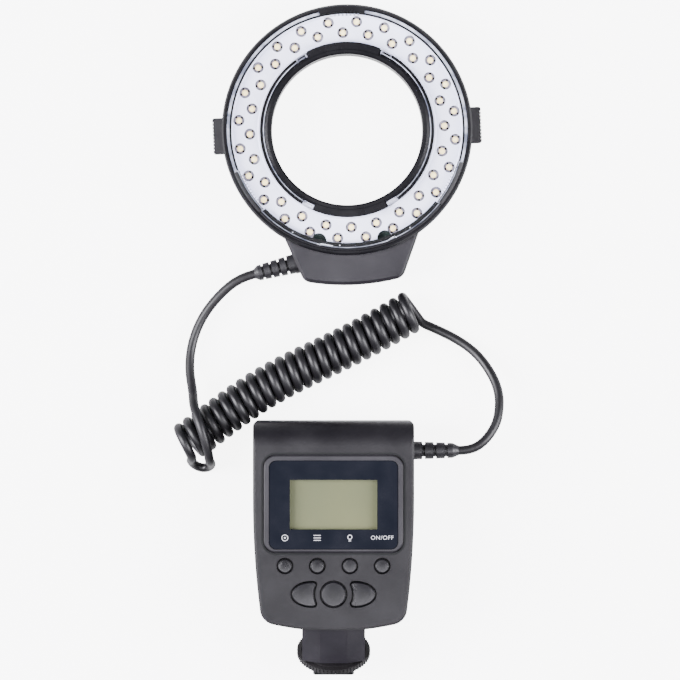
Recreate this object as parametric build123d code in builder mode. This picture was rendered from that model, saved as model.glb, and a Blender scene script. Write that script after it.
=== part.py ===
from build123d import *
import os
from math import cos, exp, pi, radians, sin, sqrt, tan

# A macro ring flash: ring head with LEDs, coiled cord, and a controller with a hot-shoe foot.
# Millimetres. The set lies on a table at z = 0 with the lamps and the key panel facing +Z.
# +Y runs from the controller's foot to the ring head. The origin is under the middle of the set.

os.makedirs("parts", exist_ok=True)


def save(part, label):
    part.label = label
    export_step(part, f"parts/{label}.step")


# Driving dimensions: ring head, in its own frame (x right, y up, z towards the light side)
HEAD_RADIUS = 56.6
HEAD_Y = 94.95
HEAD_TURN = 2.5
LENS_HOLE_RADIUS = 34.1
HEAD_DEPTH = 25.0
HOUSING_DEPTH = 16.0
WALL = 2.0
FLOOR = 2.2
RECESS_RADIUS = 38.5
RECESS_DEPTH = 4.2
RECESS_WALL_RADIUS = 40.3
COLLAR_RADIUS = 36.1
FLANGE = 1.4
BOARD_BOTTOM = 15.6
BOARD_THICKNESS = 1.6
LED_SIDE = 4.2
LED_HEIGHT = 1.0
LED_HOLE_RADIUS = 2.5
LED_PER_ROW = 24
LED_INNER_ROW = 44.0
LED_OUTER_ROW = 49.1
REFLECTOR_BOTTOM = 18.3
REFLECTOR_THICKNESS = 1.3
REFLECTOR_INNER = 39.4
REFLECTOR_OUTER = 52.6
COVER_INNER = 37.5
COVER_OUTER = 54.4
COVER_BOTTOM = 22.6
COVER_THICKNESS = 1.2
POD_SPLIT = 14.0
POD_DEPTH = 21.5
POD_BOTTOM_Y = -70.0
BOSS_CIRCLE = 50.0
BOSS_RADIUS = 2.7
SCREW_RADIUS = 1.1
SCREW_HEAD_RADIUS = 2.3
LUG_SWEEP = 50.0
LUG_RADIUS = 39.6
NOTCH_SWEEP = 9.0
NOTCH_ANGLES = (60, 120, 240, 300)
BEZEL_LIP_RADIUS = 53.0
BEZEL_LIP_SWEEP = 22.0
SNAP_TAB_RADIUS = 51.1
SNAP_TAB_WIDTH = 11.8
SNAP_TAB_DEPTH = 1.1
SNAP_TAB_X = 1.5
BUTTON_LENGTH = 16.3
BUTTON_REACH = 60.9
BUTTON_BOTTOM = 4.2
BUTTON_TOP = 12.8
BUTTON_TRAVEL = 2.0
YOKE_INNER = 42.0
YOKE_OUTER = 45.0
YOKE_SHIFT = 0.8
YOKE_BOTTOM = 2.5
YOKE_THICKNESS = 1.3
CLAW_REACH = 36.9
CLAW_WIDTH = 6.0
RELIEF_SEAT = 3.1

# Driving dimensions: controller, with u measured down from its top edge and w across the tilted foot
PANEL_HEIGHT = 40.0
PANEL_WIDTH = 72.4
PANEL_LENGTH = 94.2
CONTROLLER_X = -6.1
FOOT_TILT = 33.0
PANEL_BEVEL = 1.1
PANEL_STRAIGHT = 35.0
PANEL_SIDE_RADIUS = 393.0
PANEL_TOP_CORNER = 2.4
PANEL_FOOT_CORNER = 7.5
PANEL_FOOT_RISE = 4.2
PANEL_ROLL = 11.0
SHELL_SPLIT = 24.0
SHELL_WALL = 2.0
END_FACE = 57.2
FOOT_AXIS_W = 69.7
STEM_WIDTH = 28.3
STEM_DEPTH = 25.6
STEM_FACET = 12.4
STEM_FACET_DROP = 2.2
STEM_END = 77.5
WHEEL_TOP = 77.9
WHEEL_THICKNESS = 2.5
WHEEL_RADIUS = 16.6
WHEEL_TEETH = 60
NECK_RADIUS = 5.9
WASHER_THICKNESS = 0.8
WASHER_RADIUS = 12.0
FOOT_TOP = 84.2
FOOT_THICKNESS = 2.0
FOOT_WIDTH = 18.6
FOOT_LENGTH = 18.0
CLAMP_TRAVEL = 1.25
PIN_RADIUS = 1.0
PIN_STICK_OUT = 0.8
WINDOW_WIDTH = 63.6
WINDOW_TOP = 14.8
WINDOW_BOTTOM = 59.3
GLASS_WIDTH = 58.1
GLASS_TOP = 17.6
GLASS_BOTTOM = 57.5
LCD_WIDTH = 39.3
LCD_TOP = 26.3
LCD_BOTTOM = 48.6
SMALL_KEY_RADIUS = 3.1
SMALL_KEY_U = 64.9
SMALL_KEY_XS = (-21.8, -7.3, 7.3, 21.8)
TEST_KEY_RADIUS = 5.6
ROUND_KEY_U = 77.6
ARROW_KEY_X = 9.9
ARROW_KEY_REACH = 8.8
ARROW_KEY_HEIGHT = 5.4
ARROW_KEY_HOLLOW = 8.9
ARROW_KEY_CORNER = 1.1
KEY_GAP = 0.65
KEY_RAISE = 0.8
KEY_TRAVEL = 0.6
KEY_FLANGE = 1.0
CELL_RADIUS = 7.1
CELL_LENGTH = 49.5

# Driving dimensions: cord
CORD_DIAMETER = 4.2
COIL_RADIUS = 7.8
COIL_PITCH = 4.86
COIL_START = (-72.6, -48.2)
COIL_HEADING = 31.0
COIL_BULGE = 4.6
COIL_BULGE_MIDDLE = 43.0
COIL_BULGE_SPREAD = 39.0
COIL_FIRST_ANGLE = 185.0
COIL_START_SPREAD = 1.2
COIL_TURNS = 24 + 275 / 360

# Frames that the driving dimensions give
HEAD = Plane(
    origin=(0, HEAD_Y, 0),
    x_dir=(cos(radians(HEAD_TURN)), sin(radians(HEAD_TURN)), 0),
    z_dir=(0, 0, 1),
)
HEAD_SECTION = Plane(origin=HEAD.origin, x_dir=HEAD.x_dir, z_dir=-HEAD.y_dir)
HEAD_AXIS = Axis(HEAD.origin, (0, 0, 1))
TILT_COS = cos(radians(FOOT_TILT))
TILT_SIN = sin(radians(FOOT_TILT))
FOOT_REACH = TILT_COS * (FOOT_TOP + FOOT_THICKNESS) + TILT_SIN * (FOOT_AXIS_W + FOOT_LENGTH / 2)
TOP_Y = FOOT_REACH - HEAD_Y - HEAD_RADIUS
PANEL = Plane(origin=(CONTROLLER_X, TOP_Y, 0), x_dir=(1, 0, 0), z_dir=(0, 0, 1))
SIDE = Plane(origin=(CONTROLLER_X, TOP_Y, 0), x_dir=(0, 1, 0), z_dir=(1, 0, 0))
STEM = Plane(
    origin=(CONTROLLER_X, TOP_Y - TILT_SIN * FOOT_AXIS_W, TILT_COS * FOOT_AXIS_W),
    x_dir=(1, 0, 0),
    z_dir=(0, -TILT_COS, -TILT_SIN),
)
STEM_SECTION = Plane(origin=STEM.origin, x_dir=STEM.x_dir, z_dir=-STEM.y_dir)
STEM_AXIS = Axis(STEM.origin, STEM.z_dir)


def half_section(points, plane):
    with BuildSketch(plane) as section:
        with BuildLine():
            Polyline(*points, close=True)
        make_face()
    return section.sketch


# A piece of a ring round the lens hole: its section swept about the head's axis
def ring_sector(inner, outer, bottom, top, middle_angle, sweep_angle):
    start = radians(HEAD_TURN + middle_angle - sweep_angle / 2)
    plane = Plane(origin=HEAD.origin, x_dir=(cos(start), sin(start), 0), z_dir=(sin(start), -cos(start), 0))
    with BuildPart() as sector:
        revolve(
            half_section([(inner, bottom), (outer, bottom), (outer, top), (inner, top)], plane),
            axis=HEAD_AXIS,
            revolution_arc=sweep_angle,
        )
    return sector.part


# Ring head: pod outline, shared by the rear housing, its cavity and the front cover
def pod_outline(inset):
    side_top = (31.9, -44.0)
    side_foot = (22.4, -67.5)
    with BuildSketch() as outline:
        with BuildLine():
            Polyline((-side_foot[0], side_foot[1]), (-side_top[0], side_top[1]), side_top, side_foot)
            ThreePointArc(side_foot, (0, POD_BOTTOM_Y), (-side_foot[0], side_foot[1]))
        make_face()
        corners = vertices().group_by(Axis.Y)[0]
        fillet(corners, 5.0)
        offset(amount=-inset, mode=Mode.REPLACE)
    return outline.sketch


pod_face = pod_outline(0.001)
pod_cavity = pod_outline(WALL)


# Ring head: rear housing
with BuildPart() as pod_tub:
    with BuildSketch(HEAD):
        add(pod_face)
    extrude(amount=POD_SPLIT)
    with BuildSketch(HEAD.offset(FLOOR)):
        add(pod_cavity)
    extrude(amount=POD_SPLIT, mode=Mode.SUBTRACT)
    with BuildSketch(HEAD):
        Circle(HEAD_RADIUS - WALL / 2)
    extrude(amount=POD_SPLIT, mode=Mode.SUBTRACT)
    rim = faces().filter_by(Axis.Z).sort_by(Axis.Z)[0].edges().sort_by(Axis.Y)[:3]
    chamfer(rim, 0.8)

with BuildPart() as ring_rear_housing:
    revolve(
        half_section(
            [
                (RECESS_RADIUS, 0),
                (HEAD_RADIUS - 1.0, 0),
                (HEAD_RADIUS, 1.0),
                (HEAD_RADIUS, HOUSING_DEPTH),
                (HEAD_RADIUS - WALL, HOUSING_DEPTH),
                (HEAD_RADIUS - WALL, FLOOR),
                (RECESS_WALL_RADIUS, FLOOR),
                (RECESS_WALL_RADIUS, RECESS_DEPTH + FLANGE),
                (COLLAR_RADIUS, RECESS_DEPTH + FLANGE),
                (COLLAR_RADIUS, RECESS_DEPTH),
                (RECESS_RADIUS, RECESS_DEPTH),
            ],
            HEAD_SECTION,
        ),
        axis=HEAD_AXIS,
    )
    add(pod_tub.part)
    # Wire slot from the ring into the pod
    with BuildSketch(HEAD.offset(8.0)):
        with Locations((0, -HEAD_RADIUS)):
            Rectangle(14, 3 * WALL)
    extrude(amount=4.0, mode=Mode.SUBTRACT)
    # Slots that the release buttons and the claws pass through
    with BuildSketch(HEAD.offset(BUTTON_BOTTOM - 0.3)):
        with Locations((HEAD_RADIUS - WALL, 0), (WALL - HEAD_RADIUS, 0)):
            Rectangle(4 * WALL, BUTTON_LENGTH + 0.6)
    extrude(amount=BUTTON_TOP - BUTTON_BOTTOM + 0.6, mode=Mode.SUBTRACT)
    with BuildSketch(HEAD.offset(YOKE_BOTTOM - 0.2)):
        with Locations((39.4, 0), (-39.4, 0)):
            Rectangle(4.4, CLAW_WIDTH + 1.0)
    extrude(amount=YOKE_THICKNESS + 0.4, mode=Mode.SUBTRACT)
    # Screw bosses up to the LED board, and spring seats beside the buttons
    with BuildSketch(HEAD.offset(FLOOR - 0.5)):
        with PolarLocations(BOSS_CIRCLE, 4, start_angle=45):
            Circle(BOSS_RADIUS)
    extrude(amount=BOARD_BOTTOM - FLOOR + 0.5)
    with BuildSketch(HEAD.offset(FLOOR - 0.5)):
        with Locations((47.6, 6.2), (-47.6, -6.2)):
            Rectangle(1.4, 4.6)
    extrude(amount=9.0)
    with BuildSketch(HEAD):
        with PolarLocations(BOSS_CIRCLE, 4, start_angle=45):
            Circle(SCREW_HEAD_RADIUS + 0.2)
    extrude(amount=2.0, mode=Mode.SUBTRACT)
    with BuildSketch(HEAD):
        with PolarLocations(BOSS_CIRCLE, 4, start_angle=45):
            Circle(SCREW_RADIUS + 0.05)
    extrude(amount=13.0, mode=Mode.SUBTRACT)
    # Hole for the strain relief in the pod's left wall
    relief_plane = Plane(
        origin=HEAD.from_local_coords((-23.6, -58.6, 9.0)),
        x_dir=(0, 0, 1),
        z_dir=(-cos(radians(14.5)), -sin(radians(14.5)), 0),
    )
    with BuildSketch(relief_plane):
        Circle(4.7)
    extrude(amount=RELIEF_SEAT)
    with BuildSketch(relief_plane.offset(-0.6)):
        Circle(2.6)
    extrude(amount=RELIEF_SEAT + 0.6, mode=Mode.SUBTRACT)
save(ring_rear_housing.part, "ring_rear_housing")

with BuildPart() as ring_screws:
    with BuildSketch(HEAD.offset(0.3)):
        with PolarLocations(BOSS_CIRCLE, 4, start_angle=45):
            Circle(SCREW_HEAD_RADIUS)
    extrude(amount=1.7)
    with BuildSketch(HEAD.offset(2.0)):
        with PolarLocations(BOSS_CIRCLE, 4, start_angle=45):
            Circle(SCREW_RADIUS)
    extrude(amount=10.0)
    with BuildSketch(HEAD.offset(0.3)):
        with PolarLocations(BOSS_CIRCLE, 4, start_angle=45):
            Rectangle(2.8, 0.6)
            Rectangle(0.6, 2.8)
    extrude(amount=1.0, mode=Mode.SUBTRACT)
save(ring_screws.part, "ring_screws")

# Ring head: LED board, lamps and reflector
with BuildPart() as led_board:
    with BuildSketch(HEAD.offset(BOARD_BOTTOM)):
        Circle(HEAD_RADIUS - WALL - 0.2)
        Circle(COLLAR_RADIUS + 0.3, mode=Mode.SUBTRACT)
    extrude(amount=BOARD_THICKNESS)
save(led_board.part, "led_board")

with BuildPart() as leds:
    with BuildSketch(HEAD.offset(BOARD_BOTTOM + BOARD_THICKNESS)):
        with PolarLocations(LED_INNER_ROW, LED_PER_ROW, start_angle=90):
            Rectangle(LED_SIDE, LED_SIDE)
        with PolarLocations(LED_OUTER_ROW, LED_PER_ROW, start_angle=90 + 180 / LED_PER_ROW):
            Rectangle(LED_SIDE, LED_SIDE)
    extrude(amount=LED_HEIGHT)
save(leds.part, "leds")

with BuildPart() as reflector_plate:
    plate_top = REFLECTOR_BOTTOM + REFLECTOR_THICKNESS
    revolve(
        half_section(
            [
                (REFLECTOR_INNER, REFLECTOR_BOTTOM),
                (REFLECTOR_OUTER, REFLECTOR_BOTTOM),
                (REFLECTOR_OUTER, COVER_BOTTOM - 0.3),
                (REFLECTOR_OUTER - 0.6, COVER_BOTTOM - 0.3),
                (REFLECTOR_OUTER - 1.1, plate_top),
                (REFLECTOR_INNER + 1.1, plate_top),
                (REFLECTOR_INNER + 0.6, plate_top + 0.9),
                (REFLECTOR_INNER, plate_top + 0.9),
            ],
            HEAD_SECTION,
        ),
        axis=HEAD_AXIS,
    )
    with BuildSketch(HEAD.offset(REFLECTOR_BOTTOM)):
        with PolarLocations(LED_INNER_ROW, LED_PER_ROW, start_angle=90):
            Circle(LED_HOLE_RADIUS)
        with PolarLocations(LED_OUTER_ROW, LED_PER_ROW, start_angle=90 + 180 / LED_PER_ROW):
            Circle(LED_HOLE_RADIUS)
    extrude(amount=REFLECTOR_THICKNESS, mode=Mode.SUBTRACT)
    # Four tongues that reach through the collar's notches
    for notch_angle in NOTCH_ANGLES:
        add(
            ring_sector(
                COLLAR_RADIUS + 0.4, REFLECTOR_INNER + 0.3, REFLECTOR_BOTTOM, plate_top, notch_angle, NOTCH_SWEEP - 1
            )
        )
    # Two screw notches and the wire notch at the pod's side
    with BuildSketch(HEAD.offset(REFLECTOR_BOTTOM)):
        with PolarLocations(51.6, 2, start_angle=270 - 16.8, angular_range=2 * 33.6):
            Circle(3.4)
        with Locations((0, -REFLECTOR_OUTER)):
            Rectangle(7.2, 3.0)
    extrude(amount=COVER_BOTTOM - REFLECTOR_BOTTOM, mode=Mode.SUBTRACT)
save(reflector_plate.part, "reflector_plate")

# Ring head: inner collar, the wall of the lens hole
with BuildPart() as inner_collar:
    revolve(
        half_section(
            [
                (LENS_HOLE_RADIUS, RECESS_DEPTH),
                (COLLAR_RADIUS, RECESS_DEPTH),
                (COLLAR_RADIUS, plate_top + 1.0),
                (REFLECTOR_INNER - 0.1, plate_top + 1.0),
                (REFLECTOR_INNER - 0.1, COVER_BOTTOM - 0.1),
                (COVER_INNER - 0.3, COVER_BOTTOM - 0.1),
                (COVER_INNER - 0.3, HEAD_DEPTH - 1.0),
                (COVER_INNER - 1.5, HEAD_DEPTH),
                (LENS_HOLE_RADIUS + 0.7, HEAD_DEPTH),
                (LENS_HOLE_RADIUS, HEAD_DEPTH - 0.7),
            ],
            HEAD_SECTION,
        ),
        axis=HEAD_AXIS,
    )
    # Notches where the reflector's tongues and the cover's clips show
    for notch_angle in NOTCH_ANGLES:
        add(
            ring_sector(
                COLLAR_RADIUS, REFLECTOR_INNER, plate_top + 0.5, COVER_BOTTOM, notch_angle, NOTCH_SWEEP
            ),
            mode=Mode.SUBTRACT,
        )
    # Two wide lugs, at the top and at the pod's side, that hold the clear cover down
    lug_bottom = COVER_BOTTOM + COVER_THICKNESS + 0.1
    for lug_angle in (90, 270):
        add(ring_sector(COLLAR_RADIUS, LUG_RADIUS, lug_bottom, HEAD_DEPTH - 0.3, lug_angle, LUG_SWEEP))
save(inner_collar.part, "inner_collar")

# Ring head: clear front cover, with a snap tab at the top
with BuildPart() as clear_front_cover:
    revolve(
        half_section(
            [
                (COVER_INNER, COVER_BOTTOM),
                (COVER_OUTER - 1.4, COVER_BOTTOM),
                (COVER_OUTER - 1.4, BOARD_BOTTOM + BOARD_THICKNESS + 1.2),
                (COVER_OUTER, BOARD_BOTTOM + BOARD_THICKNESS + 1.2),
                (COVER_OUTER, COVER_BOTTOM + COVER_THICKNESS),
                (COVER_INNER, COVER_BOTTOM + COVER_THICKNESS),
            ],
            HEAD_SECTION,
        ),
        axis=HEAD_AXIS,
    )
    cover_top = COVER_BOTTOM + COVER_THICKNESS
    with BuildSketch(HEAD.offset(cover_top)):
        with Locations((SNAP_TAB_X, SNAP_TAB_RADIUS + SNAP_TAB_DEPTH / 2)):
            Rectangle(SNAP_TAB_WIDTH, SNAP_TAB_DEPTH)
    extrude(amount=0.6)
save(clear_front_cover.part, "clear_front_cover")

# Ring head: front bezel, the dark outer band
with BuildPart() as ring_front_bezel:
    revolve(
        half_section(
            [
                (COVER_OUTER + 0.2, HOUSING_DEPTH + 1.3),
                (COVER_OUTER + 0.2, HEAD_DEPTH - 0.9),
                (COVER_OUTER + 0.5, HEAD_DEPTH - 0.6),
                (HEAD_RADIUS - 0.8, HEAD_DEPTH - 0.6),
                (HEAD_RADIUS, HEAD_DEPTH - 1.6),
                (HEAD_RADIUS, HOUSING_DEPTH),
                (HEAD_RADIUS - WALL + 0.1, HOUSING_DEPTH),
                (HEAD_RADIUS - WALL + 0.1, HOUSING_DEPTH + 1.3),
            ],
            HEAD_SECTION,
        ),
        axis=HEAD_AXIS,
    )
    # The lip over the clear cover's snap tab
    lip_bottom = COVER_BOTTOM + COVER_THICKNESS + 0.05
    lip_outer = COVER_OUTER + 0.6
    add(ring_sector(BEZEL_LIP_RADIUS, lip_outer, lip_bottom, HEAD_DEPTH - 0.6, 90, BEZEL_LIP_SWEEP))
save(ring_front_bezel.part, "ring_front_bezel")

# Ring head: pod front cover with its bevelled edge, and the driver board under it
with BuildPart() as pod_front_cover:
    with BuildSketch(HEAD.offset(POD_SPLIT)):
        add(pod_face)
    extrude(amount=POD_DEPTH - POD_SPLIT)
    top_edges = faces().filter_by(Axis.Z).sort_by(Axis.Z)[-1].edges().sort_by(Axis.Y)[:-1]
    chamfer(top_edges, 1.6, 1.4)
    with BuildSketch(HEAD.offset(POD_SPLIT)):
        add(pod_cavity)
    extrude(amount=POD_DEPTH - POD_SPLIT - WALL, mode=Mode.SUBTRACT)
    with BuildSketch(HEAD.offset(POD_SPLIT)):
        Circle(HEAD_RADIUS + 0.1)
    extrude(amount=POD_DEPTH, mode=Mode.SUBTRACT)
save(pod_front_cover.part, "pod_front_cover")

with BuildPart() as driver_board:
    with BuildSketch(HEAD.offset(10.6)):
        with Locations((0, -61.6)):
            Rectangle(36, 7.6)
    extrude(amount=1.2)
    with BuildSketch(HEAD.offset(11.8)):
        with Locations((-9, -61.6), (2, -61.6), (12, -61.6)):
            Rectangle(6, 5)
    extrude(amount=2.4)
save(driver_board.part, "driver_board")


# Ribbed strain relief, turned about the cord's axis, its foot held in the wall
def ribbed_relief(plane, length, base_radius, end_radius, ribs):
    section = Plane(origin=plane.origin, x_dir=plane.x_dir, z_dir=-plane.y_dir)
    pitch = length / ribs
    points = [(0, -3.4), (2.5, -3.4), (2.5, 0)]
    for index in range(ribs):
        low = index * pitch
        outer = base_radius + (end_radius - base_radius) * index / (ribs - 1)
        thin = index == ribs - 1
        points += [(outer, low), (outer - 0.1, low + pitch * (0.45 if thin else 0.74))]
        if not thin:
            points += [(2.75, low + pitch * 0.78), (2.75, low + pitch * 0.98)]
    points += [(CORD_DIAMETER / 2 + 0.1, length * 0.99), (CORD_DIAMETER / 2 + 0.1, length), (0, length)]
    revolve(half_section(points, section), axis=Axis(plane.origin, plane.z_dir))


HEAD_RELIEF_LENGTH = 18.7
with BuildPart() as head_strain_relief:
    ribbed_relief(relief_plane.offset(RELIEF_SEAT), HEAD_RELIEF_LENGTH, 4.4, 3.6, 5)
save(head_strain_relief.part, "head_strain_relief")

# Release buttons: each pushes a yoke that carries the claw on the far side of the lens hole
for side, turn in (("right", 0.0), ("left", 180.0)):
    frame = HEAD.rotated((0, 0, turn))
    with BuildPart() as release_button:
        with BuildSketch(frame.offset(BUTTON_BOTTOM)):
            with Locations((BUTTON_REACH - 3.2, 0)):
                Rectangle(6.4, BUTTON_LENGTH)
        extrude(amount=BUTTON_TOP - BUTTON_BOTTOM)
        outer_edges = edges().filter_by(Axis.Z).filter_by(
            lambda edge: frame.to_local_coords(edge.center()).X > BUTTON_REACH - 1
        )
        fillet(outer_edges, 1.1)
        # Finger grooves along the pressing face
        with BuildSketch(frame.offset(BUTTON_BOTTOM)):
            with Locations((BUTTON_REACH, 0)):
                with GridLocations(0, 1.55, 1, 9):
                    Rectangle(0.9, 0.7)
        extrude(amount=BUTTON_TOP - BUTTON_BOTTOM, mode=Mode.SUBTRACT)
        # Retaining flange behind the wall, and the stem that carries the yoke
        with BuildSketch(frame.offset(BUTTON_BOTTOM - 0.8)):
            with Locations((52.9, 0)):
                Rectangle(1.2, BUTTON_LENGTH + 2.4)
        extrude(amount=BUTTON_TOP - BUTTON_BOTTOM + 1.6)
        with BuildSketch(frame.offset(BUTTON_BOTTOM)):
            with Locations((54.0, 0)):
                Rectangle(2.2, BUTTON_LENGTH - 2)
            with Locations((50.6, -3.2)):
                Rectangle(4.2, 9.0)
        extrude(amount=4.0)
    save(release_button.part, f"{side}_release_button")

    with BuildPart() as claw_yoke:
        with BuildSketch(frame.offset(YOKE_BOTTOM)):
            with Locations((YOKE_SHIFT, 0)):
                Circle(YOKE_OUTER)
                Circle(YOKE_INNER, mode=Mode.SUBTRACT)
            with Locations((0, 50)):
                Rectangle(120, 100 + 2 * 5.5, mode=Mode.SUBTRACT)
            with Locations((-(CLAW_REACH + YOKE_OUTER - YOKE_SHIFT) / 2, 0)):
                Rectangle(YOKE_OUTER - YOKE_SHIFT - CLAW_REACH, CLAW_WIDTH)
            with Locations((-42.7, -4.5)):
                Rectangle(3.0, 5.0)
            with Locations((48.35, -7.2)):
                Rectangle(7.7, 4.6)
        extrude(amount=YOKE_THICKNESS)
        # Tongue that hooks into the button's stem
        with BuildSketch(frame.offset(YOKE_BOTTOM)):
            with Locations((51.1, -6.0)):
                Rectangle(2.2, 2.2)
        extrude(amount=BUTTON_BOTTOM - YOKE_BOTTOM)
    save(claw_yoke.part, f"{side}_claw_yoke")

    spring_plane = Plane(
        origin=frame.from_local_coords((48.35, 6.2, 7.0)), x_dir=(0, 0, 1), z_dir=frame.x_dir
    )
    with BuildPart() as release_spring:
        with BuildSketch(spring_plane):
            Circle(1.7)
            Circle(1.2, mode=Mode.SUBTRACT)
        extrude(amount=3.9)
    save(release_spring.part, f"{side}_release_spring")


# Controller: the panel's outline, straight at the top and then drawn in by a long arc
def panel_outline(inset):
    half = PANEL_WIDTH / 2
    curved = PANEL_LENGTH - PANEL_STRAIGHT
    side_end = half - (curved - PANEL_FOOT_RISE) ** 2 / (2 * PANEL_SIDE_RADIUS)
    foot_radius = (side_end**2 + PANEL_FOOT_RISE**2) / (2 * PANEL_FOOT_RISE)
    with BuildSketch() as outline:
        with Locations((0, -PANEL_STRAIGHT - curved / 2)):
            Rectangle(PANEL_WIDTH, curved)
        for sign in (-1, 1):
            with Locations((sign * (half - PANEL_SIDE_RADIUS), -PANEL_STRAIGHT)):
                Circle(PANEL_SIDE_RADIUS - inset, mode=Mode.INTERSECT)
        with Locations((0, foot_radius - PANEL_LENGTH)):
            Circle(foot_radius - inset, mode=Mode.INTERSECT)
        fillet(vertices().group_by(Axis.Y)[0], PANEL_FOOT_CORNER - inset)
        with Locations((0, -(PANEL_STRAIGHT + inset) / 2)):
            Rectangle(PANEL_WIDTH - 2 * inset, PANEL_STRAIGHT - inset)
        fillet(vertices().group_by(Axis.Y)[-1], PANEL_TOP_CORNER - inset)
    return outline.sketch


# Controller block: the case's outer form, drawn in by inset on every side, its panel's rim bevelled
def controller_block(inset, bevel):
    foot_u = END_FACE / TILT_COS
    end_u = (END_FACE + TILT_SIN * PANEL_HEIGHT) / TILT_COS
    slope = TILT_SIN / TILT_COS
    end_inset = inset / TILT_COS
    low = inset
    high = PANEL_HEIGHT - inset
    with BuildPart() as prism:
        with BuildSketch(PANEL.offset(-1)):
            add(panel_outline(inset + 0.001))
        extrude(amount=high + bevel + 1)
        if bevel:
            chamfer(edges().group_by(Axis.Z)[-1], 2 * bevel)
    with BuildPart() as block:
        with BuildSketch(SIDE):
            with BuildLine():
                Polyline(
                    (-PANEL_ROLL, high),
                    (-(end_u - end_inset - (PANEL_HEIGHT - high) * slope), high),
                    (-(foot_u - end_inset + low * slope), low),
                    (-5 - inset, low),
                    (-inset, 5 + low),
                    (-inset, PANEL_HEIGHT - PANEL_ROLL),
                )
                RadiusArc((-inset, PANEL_HEIGHT - PANEL_ROLL), (-PANEL_ROLL, high), inset - PANEL_ROLL)
            make_face()
        extrude(amount=PANEL_WIDTH, both=True)
        add(prism.part, mode=Mode.INTERSECT)
    return block.part


outer_block = controller_block(0.0, PANEL_BEVEL)
inner_block = controller_block(SHELL_WALL, 0.0)


def arrow_key_outline(sign, grow):
    with BuildSketch() as outline:
        with Locations((sign * ARROW_KEY_X, -ROUND_KEY_U)):
            Ellipse(ARROW_KEY_REACH + grow, ARROW_KEY_HEIGHT + grow)
        with Locations((0, -ROUND_KEY_U)):
            Circle(ARROW_KEY_HOLLOW - grow, mode=Mode.SUBTRACT)
        tips = vertices().sort_by(Axis.X)[-2:] if sign < 0 else vertices().sort_by(Axis.X)[:2]
        fillet(tips, ARROW_KEY_CORNER + grow)
    return outline.sketch


# Controller: panel shell, with the window frame's opening and the key holes
with BuildPart() as controller_panel_shell:
    add(outer_block)
    add(inner_block, mode=Mode.SUBTRACT)
    split(bisect_by=Plane.XY.offset(SHELL_SPLIT), keep=Keep.TOP)
    window_mid = -(WINDOW_TOP + WINDOW_BOTTOM) / 2
    with BuildSketch(PANEL.offset(PANEL_HEIGHT - SHELL_WALL)):
        with Locations((0, window_mid)):
            RectangleRounded(WINDOW_WIDTH, WINDOW_BOTTOM - WINDOW_TOP, 5.8)
        for key_x in SMALL_KEY_XS:
            with Locations((key_x, -SMALL_KEY_U)):
                Circle(SMALL_KEY_RADIUS + KEY_GAP)
        with Locations((0, -ROUND_KEY_U)):
            Circle(TEST_KEY_RADIUS + KEY_GAP)
    extrude(amount=2 * SHELL_WALL, both=True, mode=Mode.SUBTRACT)
    for sign in (-1, 1):
        with BuildSketch(PANEL.offset(PANEL_HEIGHT - SHELL_WALL)):
            add(arrow_key_outline(sign, KEY_GAP))
        extrude(amount=2 * SHELL_WALL, both=True, mode=Mode.SUBTRACT)
    with BuildSketch(STEM.offset(END_FACE - 3)):
        Circle(4.0)
    extrude(amount=6, mode=Mode.SUBTRACT)
save(controller_panel_shell.part, "controller_panel_shell")

# Controller: base shell with the open slot for the sliding battery door
DOOR_WIDTH = 61.0
DOOR_TOP_U = 12.0
DOOR_BOTTOM_U = 67.8
DOOR_THICKNESS = 1.7
DOOR_LIP = 1.0
DOOR_TONGUE = 1.2
relief_mount_u = 13.5
relief_height = 20.0
with BuildPart() as controller_base_shell:
    add(outer_block)
    add(inner_block, mode=Mode.SUBTRACT)
    split(bisect_by=Plane.XY.offset(SHELL_SPLIT), keep=Keep.BOTTOM)
    with BuildSketch(PANEL):
        with Locations((0, -(DOOR_TOP_U + 40))):
            Rectangle(DOOR_WIDTH + 0.6, 80)
    extrude(amount=DOOR_LIP, mode=Mode.SUBTRACT)
    with BuildSketch(PANEL.offset(DOOR_LIP)):
        with Locations((0, -(DOOR_TOP_U + 40))):
            Rectangle(DOOR_WIDTH + 2 * DOOR_TONGUE + 0.6, 80)
    extrude(amount=DOOR_THICKNESS - DOOR_LIP + 0.7, mode=Mode.SUBTRACT)
    with BuildSketch(STEM.offset(END_FACE - 3)):
        Circle(4.0)
    extrude(amount=6, mode=Mode.SUBTRACT)
    with BuildSketch(PANEL):
        with Locations((-26, -7.6), (26, -7.6)):
            Circle(3.0)
    extrude(amount=SHELL_SPLIT)
    with BuildSketch(PANEL):
        with Locations((-26, -7.6), (26, -7.6)):
            Circle(SCREW_HEAD_RADIUS + 0.2)
    extrude(amount=2.0, mode=Mode.SUBTRACT)
    with BuildSketch(PANEL):
        with Locations((-26, -7.6), (26, -7.6)):
            Circle(SCREW_RADIUS + 0.05)
    extrude(amount=14.0, mode=Mode.SUBTRACT)
    with BuildSketch(PANEL.offset(relief_height).rotated((0, 90, 0))):
        with Locations((0, -relief_mount_u)):
            Circle(2.6)
    extrude(amount=PANEL_WIDTH, mode=Mode.SUBTRACT)
save(controller_base_shell.part, "controller_base_shell")

with BuildPart() as shell_screws:
    with BuildSketch(PANEL.offset(0.3)):
        with Locations((-26, -7.6), (26, -7.6)):
            Circle(SCREW_HEAD_RADIUS)
    extrude(amount=1.7)
    with BuildSketch(PANEL.offset(2.0)):
        with Locations((-26, -7.6), (26, -7.6)):
            Circle(SCREW_RADIUS)
    extrude(amount=11.0)
    with BuildSketch(PANEL.offset(0.3)):
        with Locations((-26, -7.6), (26, -7.6)):
            Rectangle(2.8, 0.6)
            Rectangle(0.6, 2.8)
    extrude(amount=1.0, mode=Mode.SUBTRACT)
save(shell_screws.part, "shell_screws")

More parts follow.
